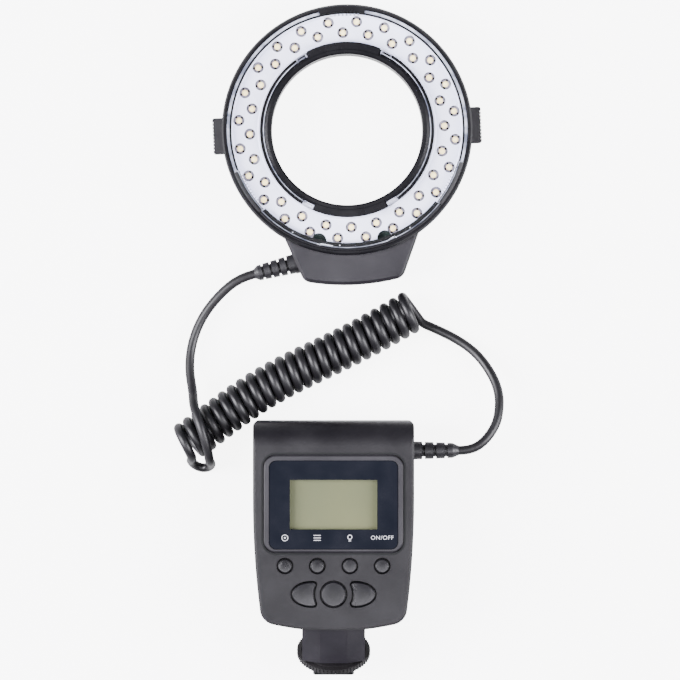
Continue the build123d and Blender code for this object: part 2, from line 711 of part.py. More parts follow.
with BuildPart() as battery_door:
    with BuildSketch(PANEL.offset(0.4)):
        with Locations((0, -(DOOR_TOP_U + DOOR_BOTTOM_U + 0.5) / 2)):
            Rectangle(DOOR_WIDTH, DOOR_BOTTOM_U - DOOR_TOP_U - 0.5)
    extrude(amount=DOOR_THICKNESS)
    with BuildSketch(PANEL.offset(DOOR_LIP + 0.1)):
        with Locations((0, -(DOOR_TOP_U + DOOR_BOTTOM_U + 0.5) / 2)):
            Rectangle(DOOR_WIDTH + 2 * DOOR_TONGUE, DOOR_BOTTOM_U - DOOR_TOP_U - 0.5)
    extrude(amount=0.9)
    with BuildSketch(PANEL.offset(0.4)):
        with Locations((0, -60.0)):
            with GridLocations(0, 1.8, 1, 5):
                Rectangle(22, 0.8)
    extrude(amount=0.5, mode=Mode.SUBTRACT)
save(battery_door.part, "battery_door")

# Controller: battery tray, four cells and their contacts
CELL_Z = 10.0
CELL_START_U = 12.5
cell_xs = [CELL_RADIUS * 2.08 * step for step in (-1.5, -0.5, 0.5, 1.5)]
with BuildPart() as battery_tray:
    with BuildSketch(PANEL.offset(CELL_Z + CELL_RADIUS + 0.3)):
        with Locations((0, -38.4)):
            Rectangle(62.0, 55.6)
    extrude(amount=1.4)
    with BuildSketch(PANEL.offset(2.6)):
        with Locations((0, -11.2), (0, -66.0 + 0.4)):
            Rectangle(62.0, 1.2)
    extrude(amount=CELL_Z + CELL_RADIUS - 1.6)
save(battery_tray.part, "battery_tray")

with BuildPart() as aa_cells:
    for index, cell_x in enumerate(cell_xs):
        button_up = index % 2 == 0
        body_u = CELL_START_U + (1.2 if button_up else 0.6)
        cell_plane = Plane(
            origin=(CONTROLLER_X + cell_x, TOP_Y - body_u, CELL_Z), x_dir=(1, 0, 0), z_dir=(0, -1, 0)
        )
        with BuildSketch(cell_plane):
            Circle(CELL_RADIUS)
        extrude(amount=CELL_LENGTH - 1.0)
        with BuildSketch(cell_plane.offset(-1.0 if button_up else CELL_LENGTH - 1.0)):
            Circle(2.7)
        extrude(amount=1.0)
save(aa_cells.part, "aa_cells")

with BuildPart() as battery_contacts:
    for index, cell_x in enumerate(cell_xs):
        button_up = index % 2 == 0
        for contact_u in (12.0, CELL_START_U + CELL_LENGTH + 2.2):
            contact_plane = Plane(
                origin=(CONTROLLER_X + cell_x, TOP_Y - contact_u, CELL_Z), x_dir=(1, 0, 0), z_dir=(0, -1, 0)
            )
            with BuildSketch(contact_plane):
                Rectangle(11, 11)
            extrude(amount=0.3)
save(battery_contacts.part, "battery_contacts")

# Controller: window frame, glass and display
with BuildPart() as window_bezel:
    with BuildSketch(PANEL.offset(PANEL_HEIGHT - SHELL_WALL)):
        with Locations((0, window_mid)):
            RectangleRounded(WINDOW_WIDTH - 1.1, WINDOW_BOTTOM - WINDOW_TOP - 1.1, 5.3)
    extrude(amount=SHELL_WALL + 0.5)
    chamfer(edges().group_by(Axis.Z)[-1], 0.5)
    with BuildSketch(PANEL.offset(PANEL_HEIGHT - 2 * SHELL_WALL + 0.6)):
        with Locations((0, window_mid)):
            Rectangle(WINDOW_WIDTH + 0.6, WINDOW_BOTTOM - WINDOW_TOP + 0.6)
    extrude(amount=SHELL_WALL - 0.6)
    glass_mid = -(GLASS_TOP + GLASS_BOTTOM) / 2
    with BuildSketch(PANEL.offset(PANEL_HEIGHT - 1.3)):
        with Locations((0, glass_mid)):
            RectangleRounded(GLASS_WIDTH, GLASS_BOTTOM - GLASS_TOP, 3.3)
    extrude(amount=2.0, mode=Mode.SUBTRACT)
    with BuildSketch(PANEL.offset(PANEL_HEIGHT - 2 * SHELL_WALL)):
        with Locations((0, glass_mid)):
            Rectangle(GLASS_WIDTH - 3, GLASS_BOTTOM - GLASS_TOP - 3)
    extrude(amount=4.0, mode=Mode.SUBTRACT)
save(window_bezel.part, "window_bezel")

with BuildPart() as display_window:
    with BuildSketch(PANEL.offset(PANEL_HEIGHT - 1.3)):
        with Locations((0, glass_mid)):
            RectangleRounded(GLASS_WIDTH - 0.2, GLASS_BOTTOM - GLASS_TOP - 0.2, 3.2)
    extrude(amount=1.5)
    chamfer(edges().group_by(Axis.Z)[-1], 0.2)
save(display_window.part, "display_window")

with BuildPart() as lcd_module:
    lcd_mid = -(LCD_TOP + LCD_BOTTOM) / 2
    with BuildSketch(PANEL.offset(33.4)):
        with Locations((0, lcd_mid)):
            Rectangle(LCD_WIDTH + 6, LCD_BOTTOM - LCD_TOP + 8)
    extrude(amount=2.8)
    with BuildSketch(PANEL.offset(36.2)):
        with Locations((0, lcd_mid)):
            Rectangle(LCD_WIDTH, LCD_BOTTOM - LCD_TOP)
    extrude(amount=0.6)
save(lcd_module.part, "lcd_module")

# Controller: key board with one dome switch under each key
KEY_BOTTOM = 36.7
key_centres = [(key_x, SMALL_KEY_U) for key_x in SMALL_KEY_XS]
key_centres += [(-13.0, ROUND_KEY_U), (0.0, ROUND_KEY_U), (13.0, ROUND_KEY_U)]
with BuildPart() as key_board:
    with BuildSketch(PANEL.offset(31.8)):
        with Locations((0, -51.0)):
            Rectangle(60, 68)
    extrude(amount=1.6)
save(key_board.part, "key_board")

with BuildPart() as key_switches:
    for key_x, key_u in key_centres:
        with BuildSketch(PANEL.offset(33.4)):
            with Locations((key_x, -key_u)):
                Rectangle(4.6, 4.6)
        extrude(amount=KEY_BOTTOM - KEY_TRAVEL - 0.1 - 33.4)
save(key_switches.part, "key_switches")

key_names = ("pilot_key", "mode_key", "backlight_key", "power_key")
for key_name, key_x in zip(key_names, SMALL_KEY_XS):
    with BuildPart() as small_key:
        with BuildSketch(PANEL.offset(KEY_BOTTOM)):
            with Locations((key_x, -SMALL_KEY_U)):
                Circle(SMALL_KEY_RADIUS + KEY_FLANGE)
        extrude(amount=1.0)
        with BuildSketch(PANEL.offset(KEY_BOTTOM)):
            with Locations((key_x, -SMALL_KEY_U)):
                Circle(SMALL_KEY_RADIUS)
        extrude(amount=PANEL_HEIGHT + KEY_RAISE - KEY_BOTTOM)
        chamfer(edges().group_by(Axis.Z)[-1], 0.4)
    save(small_key.part, key_name)

with BuildPart() as test_key:
    with BuildSketch(PANEL.offset(KEY_BOTTOM)):
        with Locations((0, -ROUND_KEY_U)):
            Circle(TEST_KEY_RADIUS + KEY_FLANGE)
    extrude(amount=1.0)
    with BuildSketch(PANEL.offset(KEY_BOTTOM)):
        with Locations((0, -ROUND_KEY_U)):
            Circle(TEST_KEY_RADIUS)
    extrude(amount=PANEL_HEIGHT + KEY_RAISE - KEY_BOTTOM)
    chamfer(edges().group_by(Axis.Z)[-1], 0.5)
save(test_key.part, "test_key")

for key_name, sign in (("decrease_key", -1), ("increase_key", 1)):
    with BuildPart() as arrow_key:
        with BuildSketch(PANEL.offset(KEY_BOTTOM)):
            add(arrow_key_outline(sign, 0))
        extrude(amount=PANEL_HEIGHT + KEY_RAISE - KEY_BOTTOM)
        chamfer(edges().group_by(Axis.Z)[-1], 0.4)
        with BuildSketch(PANEL.offset(KEY_BOTTOM)):
            with Locations((sign * 14.3, -ROUND_KEY_U)):
                Rectangle(11.4, 8.6)
        extrude(amount=1.0)
    save(arrow_key.part, key_name)

# Controller: foot stem on the slanted end face, with the threaded neck
with BuildPart() as foot_stem:
    facet_edge = STEM_DEPTH / 2 - STEM_FACET_DROP
    front_half = [
        (-STEM_WIDTH / 2, facet_edge),
        (-STEM_FACET / 2, STEM_DEPTH / 2),
        (STEM_FACET / 2, STEM_DEPTH / 2),
        (STEM_WIDTH / 2, facet_edge),
    ]
    with BuildSketch(STEM.offset(END_FACE)):
        with BuildLine():
            Polyline(*front_half, *[(-x, -y) for x, y in front_half], close=True)
        make_face()
    extrude(amount=STEM_END - END_FACE)
    chamfer(faces().sort_by(STEM_AXIS)[-1].edges(), 0.8)
    with BuildSketch(STEM.offset(END_FACE - 2.6)):
        Circle(3.9)
    extrude(amount=2.6)
    with BuildSketch(STEM.offset(STEM_END)):
        Circle(NECK_RADIUS)
    extrude(amount=FOOT_TOP - STEM_END)
    # Key groove for the clamp washer, and the bore of the sync pin
    with BuildSketch(STEM.offset(STEM_END + 0.5)):
        with Locations((0, NECK_RADIUS)):
            Rectangle(2.3, 2.0)
    extrude(amount=FOOT_TOP - STEM_END, mode=Mode.SUBTRACT)
    with BuildSketch(STEM.offset(FOOT_TOP - 5.0)):
        Circle(PIN_RADIUS + 0.75)
    extrude(amount=5.0, mode=Mode.SUBTRACT)
save(foot_stem.part, "foot_stem")

with BuildPart() as lock_wheel:
    with BuildSketch(STEM.offset(WHEEL_TOP)):
        Circle(WHEEL_RADIUS - 0.35)
        with PolarLocations(WHEEL_RADIUS - 0.35, WHEEL_TEETH):
            Rectangle(0.7, 0.8)
        Circle(NECK_RADIUS + 0.07, mode=Mode.SUBTRACT)
    extrude(amount=WHEEL_THICKNESS)
    with BuildSketch(STEM.offset(WHEEL_TOP)):
        Circle(WHEEL_RADIUS - 2.0)
        Circle(WHEEL_RADIUS - 3.0, mode=Mode.SUBTRACT)
    extrude(amount=0.3, mode=Mode.SUBTRACT)
save(lock_wheel.part, "lock_wheel")

with BuildPart() as clamp_washer:
    with BuildSketch(STEM.offset(WHEEL_TOP + WHEEL_THICKNESS + 0.05)):
        Circle(WASHER_RADIUS)
        Circle(NECK_RADIUS + 0.07, mode=Mode.SUBTRACT)
        with Locations((0, NECK_RADIUS + 0.1)):
            Rectangle(1.9, 1.6)
    extrude(amount=WASHER_THICKNESS)
save(clamp_washer.part, "clamp_washer")

with BuildPart() as shoe_foot:
    with BuildSketch(STEM.offset(FOOT_TOP)):
        Rectangle(FOOT_WIDTH, FOOT_LENGTH)
        chamfer(vertices(), 0.8)
    extrude(amount=FOOT_THICKNESS)
    chamfer(faces().sort_by(STEM_AXIS)[-1].edges(), 0.3)
    with BuildSketch(STEM.offset(FOOT_TOP)):
        Circle(PIN_RADIUS + 0.06)
    extrude(amount=FOOT_THICKNESS, mode=Mode.SUBTRACT)
    with BuildSketch(STEM.offset(FOOT_TOP)):
        with GridLocations(7.0, 7.0, 2, 2):
            Circle(0.85)
    extrude(amount=FOOT_THICKNESS, mode=Mode.SUBTRACT)
    with BuildSketch(STEM.offset(FOOT_TOP + FOOT_THICKNESS - 0.9)):
        with GridLocations(7.0, 7.0, 2, 2):
            Circle(1.5)
    extrude(amount=0.9, mode=Mode.SUBTRACT)
save(shoe_foot.part, "shoe_foot")

with BuildPart() as foot_screws:
    with BuildSketch(STEM.offset(FOOT_TOP)):
        with GridLocations(7.0, 7.0, 2, 2):
            Circle(0.8)
    extrude(amount=FOOT_THICKNESS - 0.9)
    with BuildSketch(STEM.offset(FOOT_TOP + FOOT_THICKNESS - 0.9)):
        with GridLocations(7.0, 7.0, 2, 2):
            Circle(1.45)
    extrude(amount=0.8)
save(foot_screws.part, "foot_screws")

with BuildPart() as sync_pin:
    with BuildSketch(STEM.offset(FOOT_TOP - 1.2)):
        Circle(PIN_RADIUS)
    extrude(amount=FOOT_THICKNESS + PIN_STICK_OUT + 1.2)
    chamfer(edges().group_by(STEM_AXIS)[-1], 0.4)
    with BuildSketch(STEM.offset(FOOT_TOP - 1.2)):
        Circle(PIN_RADIUS + 0.65)
    extrude(amount=1.1)
save(sync_pin.part, "sync_pin")

with BuildPart() as sync_spring:
    with BuildSketch(STEM.offset(FOOT_TOP - 4.9)):
        Circle(PIN_RADIUS + 0.5)
        Circle(PIN_RADIUS, mode=Mode.SUBTRACT)
    extrude(amount=3.6)
save(sync_spring.part, "sync_spring")

# Controller: strain relief in the right-hand wall
CONTROLLER_RELIEF_LENGTH = 20.4
controller_relief_plane = Plane(
    origin=(CONTROLLER_X + PANEL_WIDTH / 2, TOP_Y - relief_mount_u, relief_height),
    x_dir=(0, 0, 1),
    z_dir=(1, 0, 0),
)
with BuildPart() as controller_strain_relief:
    ribbed_relief(controller_relief_plane, CONTROLLER_RELIEF_LENGTH, 4.1, 3.5, 4)
save(controller_strain_relief.part, "controller_strain_relief")


# Cord: the coil's axis bulges gently, and its curls are a left-handed helix round that axis
COIL_HEIGHT = COIL_RADIUS + CORD_DIAMETER / 2 + 0.05
COIL_LEAN = radians(COIL_HEADING)
ALONG_COIL = Vector(cos(COIL_LEAN), sin(COIL_LEAN), 0)
ACROSS_COIL = Vector(-sin(COIL_LEAN), cos(COIL_LEAN), 0)


def axis_point(along):
    bulge = COIL_BULGE * exp(-(((along - COIL_BULGE_MIDDLE) / COIL_BULGE_SPREAD) ** 2))
    return Vector(*COIL_START, COIL_HEIGHT) + ALONG_COIL * along + ACROSS_COIL * bulge


def coil_point(turns):
    spread = max(0.0, 1 - turns / 0.75)
    along = COIL_PITCH * turns - 0.7 - COIL_START_SPREAD * spread**2
    way = (axis_point(along + 0.01) - axis_point(along - 0.01)).normalized()
    side = Vector(-way.Y, way.X, 0)
    swing = radians(COIL_FIRST_ANGLE) - 2 * pi * turns
    return axis_point(along) + side * (COIL_RADIUS * cos(swing)) + Vector(0, 0, COIL_RADIUS * sin(swing))


def coil_way(turns):
    step = 0.001
    return (coil_point(turns + step) - coil_point(turns - step)).normalized()


def biarc(start, start_way, end, end_way):
    gap = end - start
    ways = start_way + end_way
    square = 2 * (1 - start_way.dot(end_way))
    linear = 2 * gap.dot(ways)
    reach = (sqrt(linear**2 + 4 * square * gap.dot(gap)) - linear) / (2 * square)
    first = start + start_way * reach
    second = end - end_way * reach
    middle = (first + second) * 0.5
    TangentArc(start, middle, tangent=start_way)
    TangentArc(middle, end, tangent=second - first)


# Beside the coil's left end the lead comes down and hooks under into the first curl
first_way = (axis_point(0.1) - axis_point(0)).normalized()
first_side = Vector(first_way.Y, -first_way.X, 0)


def beside_coil(along, out, height):
    return axis_point(0) + first_way * along + first_side * out + Vector(0, 0, height - COIL_HEIGHT)


hook_end = beside_coil(4.4, 13.0, 8.2)
lead_end = hook_end + Vector(0, 0, CORD_DIAMETER)

with BuildPart() as cord_coil:
    with BuildLine() as coil_path:
        Line(lead_end, hook_end)
        biarc(hook_end, Vector(0, 0, -1), coil_point(0), coil_way(0))
        half_turns = round(COIL_TURNS * 2)
        step = COIL_TURNS / half_turns
        for index in range(half_turns):
            near = index * step
            far = near + step
            biarc(coil_point(near), coil_way(near), coil_point(far), coil_way(far))
        coil_end = coil_point(COIL_TURNS) + coil_way(COIL_TURNS) * CORD_DIAMETER
        Line(coil_point(COIL_TURNS), coil_end)
    with BuildSketch(Plane(origin=lead_end, z_dir=(0, 0, -1))):
        Circle(CORD_DIAMETER / 2)
    sweep(path=coil_path.wire())
save(cord_coil.part, "cord_coil")

coil_length = coil_path.wire().length
samples = [coil_path.wire() @ (index / 2400) for index in range(2401)]
near_steps = round(2400 * 1.6 * CORD_DIAMETER / coil_length)
window = round(2400 * 2.3 * 2 * pi * COIL_RADIUS / coil_length)
least = min(
    (samples[i] - samples[j]).length
    for i in range(0, 2401, 2)
    for j in range(i + 2 * near_steps, min(i + window, 2401))
)
print("coil: length", round(coil_length, 1), "least gap to itself", round(least - CORD_DIAMETER, 2))
print("coil: volume over section times length",
      round(cord_coil.part.volume / (pi * CORD_DIAMETER**2 / 4 * coil_length), 4))


# Cord: the two free leads, straight runs joined by tangent arcs
def lead_radii(points):
    radii = []
    for before, corner, after in zip(points, points[1:], points[2:]):
        arriving = corner - before
        leaving = after - corner
        half_turn = radians(arriving.get_angle(leaving)) / 2
        radii.append(0.45 * min(arriving.length, leaving.length) / tan(half_turn))
    return radii


head_exit = relief_plane.from_local_coords((0, 0, RELIEF_SEAT + HEAD_RELIEF_LENGTH))
relief_way = relief_plane.z_dir
head_route = [
    head_exit,
    head_exit + relief_way * 7.0,
    Vector(-58.2, 20.4, 7.4),
    Vector(-66.0, 10.4, 5.6),
    Vector(-70.6, -1.2, 5.2),
    Vector(-71.8, -13.0, 7.6),
    Vector(-69.8, -24.0, 12.4),
    beside_coil(13.4, -12.2, 18.6),
    beside_coil(11.0, -4.2, 23.2),
    beside_coil(9.0, 2.4, 23.2),
    beside_coil(6.9, 8.2, 21.0),
    lead_end + Vector(0, 0, 4.8),
    lead_end,
]
controller_exit = controller_relief_plane.from_local_coords((0, 0, CONTROLLER_RELIEF_LENGTH))
controller_route = [
    coil_end,
    coil_end + coil_way(COIL_TURNS) * 3.2,
    coil_end + Vector(7.4, -4.8, 0.2),
    Vector(50.4, 0.2, 3.6),
    Vector(59.4, -6.4, 6.2),
    Vector(66.2, -16.2, 10.0),
    Vector(69.6, -27.6, 14.2),
    Vector(67.4, -38.6, 17.6),
    Vector(62.0, -46.2, 19.5),
    controller_exit + Vector(5.0, 0, 0),
    controller_exit,
]
for lead_name, route in (("cord_head_lead", head_route), ("cord_controller_lead", controller_route)):
    radii = lead_radii(route)
    with BuildPart() as lead:
        with BuildLine() as lead_path:
            FilletPolyline(*route, radius=radii)
        with BuildSketch(Plane(origin=route[0], z_dir=route[1] - route[0])):
            Circle(CORD_DIAMETER / 2)
        sweep(path=lead_path.wire())
    save(lead.part, lead_name)
    length = lead_path.wire().length
    print(lead_name, "runs", [round((b - a).length, 1) for a, b in zip(route, route[1:])])
    print(lead_name, "radii", [round(radius, 1) for radius in radii], "length", round(length, 1))
    print(lead_name, "volume over section times length",
          round(lead.part.volume / (pi * CORD_DIAMETER**2 / 4 * length), 4))
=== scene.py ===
# %% [markdown]
# # A macro ring flash
#
# The real object has three parts: a ring of lamps that goes round a camera lens, a curly cord, and a
# controller that stands in the camera's hot shoe. The hard shells come from CAD and are loaded here as a
# fixed frame. This lesson adds the camera, the cord's smooth line, the finishes, and the small details
# that are printed or set on the shells.

# %% Load the frame
import bpy, bmesh
from math import cos, exp, pi, radians, sin
from mathutils import Matrix, Vector


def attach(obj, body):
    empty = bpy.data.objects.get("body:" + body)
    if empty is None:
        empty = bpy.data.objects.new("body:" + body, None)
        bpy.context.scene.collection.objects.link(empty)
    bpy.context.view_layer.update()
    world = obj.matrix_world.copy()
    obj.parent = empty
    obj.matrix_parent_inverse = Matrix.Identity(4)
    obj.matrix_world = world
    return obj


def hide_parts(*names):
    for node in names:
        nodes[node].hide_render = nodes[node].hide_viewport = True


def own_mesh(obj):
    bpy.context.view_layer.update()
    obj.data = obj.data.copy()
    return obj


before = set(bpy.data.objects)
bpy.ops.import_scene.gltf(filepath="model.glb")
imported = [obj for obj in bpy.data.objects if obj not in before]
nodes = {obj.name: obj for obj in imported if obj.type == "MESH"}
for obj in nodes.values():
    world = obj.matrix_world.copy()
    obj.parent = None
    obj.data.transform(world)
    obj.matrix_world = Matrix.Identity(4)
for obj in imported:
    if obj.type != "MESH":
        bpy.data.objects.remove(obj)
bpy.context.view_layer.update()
MM = 0.001

# %% [markdown]
# ## Camera
#
# The set was photographed lying flat, from straight above. A camera without perspective would be simpler,
# but a real lens always has some, so a long lens from well above is used, which keeps it weak. Its field is
# chosen so that the square picture covers 306 mm on a plane 30 mm over the table.

# %% Place the camera
VIEW_WIDTH = 0.306
VIEW_HEIGHT = 2.465
VIEW_MIDDLE_X = -0.0032
SCALE_PLANE = 0.030
SENSOR_WIDTH = 36.0
FAR_LIMIT = 20.0
camera_data = bpy.data.cameras.new("camera")
camera_data.sensor_width = SENSOR_WIDTH
camera_data.lens = SENSOR_WIDTH * VIEW_HEIGHT / VIEW_WIDTH
camera_data.clip_end = FAR_LIMIT
camera = bpy.data.objects.new("camera", camera_data)
camera.location = (VIEW_MIDDLE_X, 0.0, VIEW_HEIGHT + SCALE_PLANE)
bpy.context.scene.collection.objects.link(camera)
bpy.context.scene.camera = camera
print("lens", round(camera_data.lens, 1), "mm")

# %% [markdown]
# ## The cord's line
#
# The cord is one soft tube: it leaves the head's strain relief, climbs over the coil, hooks under into the
# first curl, makes about 25 curls, and swings round into the controller. A mesh swept by hand would need its
# own code for every bend. A NURBS curve suits the cord better, because its line is always smooth. For the
# free runs its control points are listed one by one, and for the curls they come from the helix formula. A
# quadratic curve cuts a little inside its points, and the helix points stand out far enough to make up half
# of that. The thickness is set by each point's radius, with a bevel depth of one, because Blender measures a
# curve's box from those radii.

# %% Name the coil's sizes
CORD_DIAMETER = 4.2
FLOOR_GAP = 0.05
COIL_RADIUS = 7.8
COIL_PITCH = 4.86
COIL_TURNS = 24 + 275 / 360
COIL_HEIGHT = COIL_RADIUS + CORD_DIAMETER / 2 + FLOOR_GAP
COIL_START = (-72.6, -48.2)
COIL_SHIFT = 0.7
COIL_LEAN = radians(31.0)
COIL_FIRST_ANGLE = radians(185.0)
COIL_BULGE, COIL_BULGE_MIDDLE, COIL_BULGE_SPREAD = 4.6, 43.0, 39.0
LOOSE_TURNS, LOOSE_GAP = 0.75, 1.1
SMALL_STEP = 0.01
ALONG_COIL = Vector((cos(COIL_LEAN), sin(COIL_LEAN), 0))
ACROSS_COIL = Vector((-sin(COIL_LEAN), cos(COIL_LEAN), 0))
print("coil", round(COIL_TURNS, 2), "turns at a pitch of", COIL_PITCH, "mm")

# %% Work out the coil's line


def axis_point(along):
    bulge = COIL_BULGE * exp(-(((along - COIL_BULGE_MIDDLE) / COIL_BULGE_SPREAD) ** 2))
    return Vector((*COIL_START, COIL_HEIGHT)) + ALONG_COIL * along + ACROSS_COIL * bulge


def axis_way(begin, end):
    return (axis_point(end) - axis_point(begin)).normalized()


def coil_point(turns, radius=COIL_RADIUS):
    looseness = max(0.0, 1 - turns / LOOSE_TURNS)
    along = COIL_PITCH * turns - COIL_SHIFT - LOOSE_GAP * looseness**2
    way = axis_way(along - SMALL_STEP, along + SMALL_STEP)
    side = Vector((-way.y, way.x, 0))
    swing = COIL_FIRST_ANGLE - 2 * pi * turns
    return axis_point(along) + side * (radius * cos(swing)) + Vector((0, 0, radius * sin(swing)))


# %% Lay out the lead from the head to the first curl
HEAD_Y = 94.95
HEAD_TURN = radians(2.5)
HEAD_RELIEF_FOOT = (-23.6, -58.6, 9.0)
HEAD_RELIEF_ANGLE = radians(194.5)
RELIEF_SEAT, HEAD_RELIEF_LENGTH = 3.1, 18.7
first_way = axis_way(0.0, 0.1)
first_side = Vector((first_way.y, -first_way.x, 0))


def beside_coil(along, out, height):
    return axis_point(0) + first_way * along + first_side * out + Vector((0, 0, height - COIL_HEIGHT))


def head_point(x, y, z):
    turned_x = x * cos(HEAD_TURN) - y * sin(HEAD_TURN)
    turned_y = x * sin(HEAD_TURN) + y * cos(HEAD_TURN)
    return Vector((turned_x, HEAD_Y + turned_y, z))


relief_way = Vector((cos(HEAD_RELIEF_ANGLE), sin(HEAD_RELIEF_ANGLE), 0))
head_exit = head_point(*HEAD_RELIEF_FOOT) + relief_way * (RELIEF_SEAT + HEAD_RELIEF_LENGTH)
head_route = [
    head_exit,
    head_exit + relief_way * 7.0,
    Vector((-58.2, 20.4, 7.4)),
    Vector((-66.0, 10.4, 5.6)),
    Vector((-70.6, -1.2, 5.2)),
    Vector((-71.8, -13.0, 7.6)),
    Vector((-69.8, -24.0, 12.4)),
    beside_coil(13.4, -12.2, 18.6),
    beside_coil(11.0, -4.2, 23.2),
    beside_coil(9.0, 2.4, 23.2),
    beside_coil(6.9, 8.2, 21.0),
    beside_coil(4.4, 13.0, 17.2),
    Vector((-61.9, -55.4, 11.0)),
]
hook = [
    Vector((-61.6, -57.0, 5.6)),
    Vector((-64.6, -58.4, 3.0)),
    Vector((-68.6, -57.4, 3.6)),
    Vector((-71.2, -54.6, 7.6)),
]
print("the cord leaves the head at", [round(value, 1) for value in head_exit])

# %% Wind the curls
POINTS_PER_TURN = 14
curve_inset = 0.75 + 0.25 * cos(2 * pi / POINTS_PER_TURN)
outer_radius = COIL_RADIUS / curve_inset**0.5
helix = [
    coil_point(index / POINTS_PER_TURN, outer_radius)
    for index in range(1, round(COIL_TURNS * POINTS_PER_TURN))
]
coil_stop = coil_point(COIL_TURNS)
coil_way = (coil_stop - coil_point(COIL_TURNS - 0.001)).normalized()
coil_end = coil_stop + coil_way * CORD_DIAMETER
print("helix points", len(helix), "at a radius of", round(outer_radius, 2), "mm")

# %% Lay out the lead from the coil to the controller
TOP_Y = -36.3935
CONTROLLER_X, PANEL_WIDTH = -6.1, 72.4
CONTROLLER_RELIEF_LENGTH, CONTROLLER_RELIEF_DOWN, CONTROLLER_RELIEF_HEIGHT = 20.4, 13.5, 20.0
relief_end_x = CONTROLLER_X + PANEL_WIDTH / 2 + CONTROLLER_RELIEF_LENGTH
controller_exit = Vector((relief_end_x, TOP_Y - CONTROLLER_RELIEF_DOWN, CONTROLLER_RELIEF_HEIGHT))
controller_route = [
    coil_end,
    coil_end + coil_way * 3.2,
    coil_end + Vector((7.4, -4.8, 0.2)),
    Vector((50.4, 0.2, 3.6)),
    Vector((59.4, -6.4, 6.2)),
    Vector((66.2, -16.2, 10.0)),
    Vector((68.95, -24.2, 13.0)),
    Vector((68.95, -31.6, 15.6)),
    Vector((67.4, -38.6, 17.6)),
    Vector((62.0, -46.2, 19.5)),
    controller_exit + Vector((5.0, 0, 0)),
    controller_exit,
]
cord_points = head_route + hook + helix + controller_route
print("cord control points", len(cord_points))

# %% Draw the cord as one open spline
curve = bpy.data.curves.new("curly_cord", "CURVE")
curve.dimensions = "3D"
spline = curve.splines.new("NURBS")
spline.points.add(len(cord_points) - 1)
for control, place in zip(spline.points, cord_points):
    control.co = (*(place * MM), 1.0)
    control.radius = CORD_DIAMETER / 2 * MM
spline.order_u = 3
spline.use_endpoint_u = True
spline.resolution_u = 4
curve.bevel_depth = 1.0
curve.bevel_resolution = 5
cord = bpy.data.objects.new("curly_cord", curve)
bpy.context.scene.collection.objects.link(cord)
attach(cord, "flash")
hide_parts("cord_head_lead", "cord_coil", "cord_controller_lead")

# %% [markdown]
# ## Effects that several finishes share
#
# Moulded plastic isn't a flat colour: the mould leaves a fine spark-eroded grain, hands polish it unevenly,
# and dust settles on it. Where two shells meet there is a thin dark parting line, and soft key tops are
# slightly pillowed. Each effect is a shader node group with named sockets, so every material can use it with
# its own numbers. A shared group was chosen over copied nodes because one correction then mends them all.

# %% Small node helpers
MAP_SOCKETS = ("From Min", "From Max", "To Min", "To Max")


def new_group(name, inputs, outputs):
    group = bpy.data.node_groups.new(name, "ShaderNodeTree")
    for socket_name, kind, value in inputs:
        socket = group.interface.new_socket(socket_name, in_out="INPUT", socket_type=kind)
        socket.default_value = value
    for socket_name, kind in outputs:
        group.interface.new_socket(socket_name, in_out="OUTPUT", socket_type=kind)
    start = group.nodes.new("NodeGroupInput")
    end = group.nodes.new("NodeGroupOutput")
    print("group", name)
    return group, start, end


def coordinates(tree, kind="Object"):
    return tree.nodes.new("ShaderNodeTexCoord").outputs[kind]


def noise(tree, vector, scale, detail=2.0, rough=0.5):
    texture = tree.nodes.new("ShaderNodeTexNoise")
    texture.inputs["Detail"].default_value = detail
    texture.inputs["Roughness"].default_value = rough
    tree.links.new(vector, texture.inputs["Vector"])
    if isinstance(scale, float):
        texture.inputs["Scale"].default_value = scale
    else:
        tree.links.new(scale, texture.inputs["Scale"])
    return texture.outputs["Fac"]


def spread(tree, value, low, high, to_low=0.0, to_high=1.0):
    ramp = tree.nodes.new("ShaderNodeMapRange")
    tree.links.new(value, ramp.inputs["Value"])
    for socket_name, number in zip(MAP_SOCKETS, (low, high, to_low, to_high)):
        ramp.inputs[socket_name].default_value = number
    return ramp.outputs["Result"]


def calculate(tree, kind, first, second):
    node = tree.nodes.new("ShaderNodeMath")
    node.operation = kind
    for socket, value in zip(node.inputs, (first, second)):
        if isinstance(value, float):
            socket.default_value = value
        else:
            tree.links.new(value, socket)
    return node.outputs["Value"]


def axes(tree, vector):
    split = tree.nodes.new("ShaderNodeSeparateXYZ")
    tree.links.new(vector, split.inputs["Vector"])
    return split.outputs


# %% Spark-eroded grain
FINE_GRAIN = 5200.0
grain_group, start, end = new_group(
    "moulded_grain",
    [("Grain Scale", "NodeSocketFloat", FINE_GRAIN), ("Depth", "NodeSocketFloat", 1.0)],
    [("Height", "NodeSocketFloat"), ("Speckle", "NodeSocketFloat")],
)
place = coordinates(grain_group)
fine = noise(grain_group, place, start.outputs["Grain Scale"], 3.0, 0.6)
pits = grain_group.nodes.new("ShaderNodeTexVoronoi")
grain_group.links.new(place, pits.inputs["Vector"])
grain_group.links.new(start.outputs["Grain Scale"], pits.inputs["Scale"])
mixed = calculate(grain_group, "ADD", fine, pits.outputs["Distance"])
deepened = calculate(grain_group, "MULTIPLY", mixed, start.outputs["Depth"])
grain_group.links.new(deepened, end.inputs["Height"])
grain_group.links.new(spread(grain_group, fine, 0.35, 0.65), end.inputs["Speckle"])

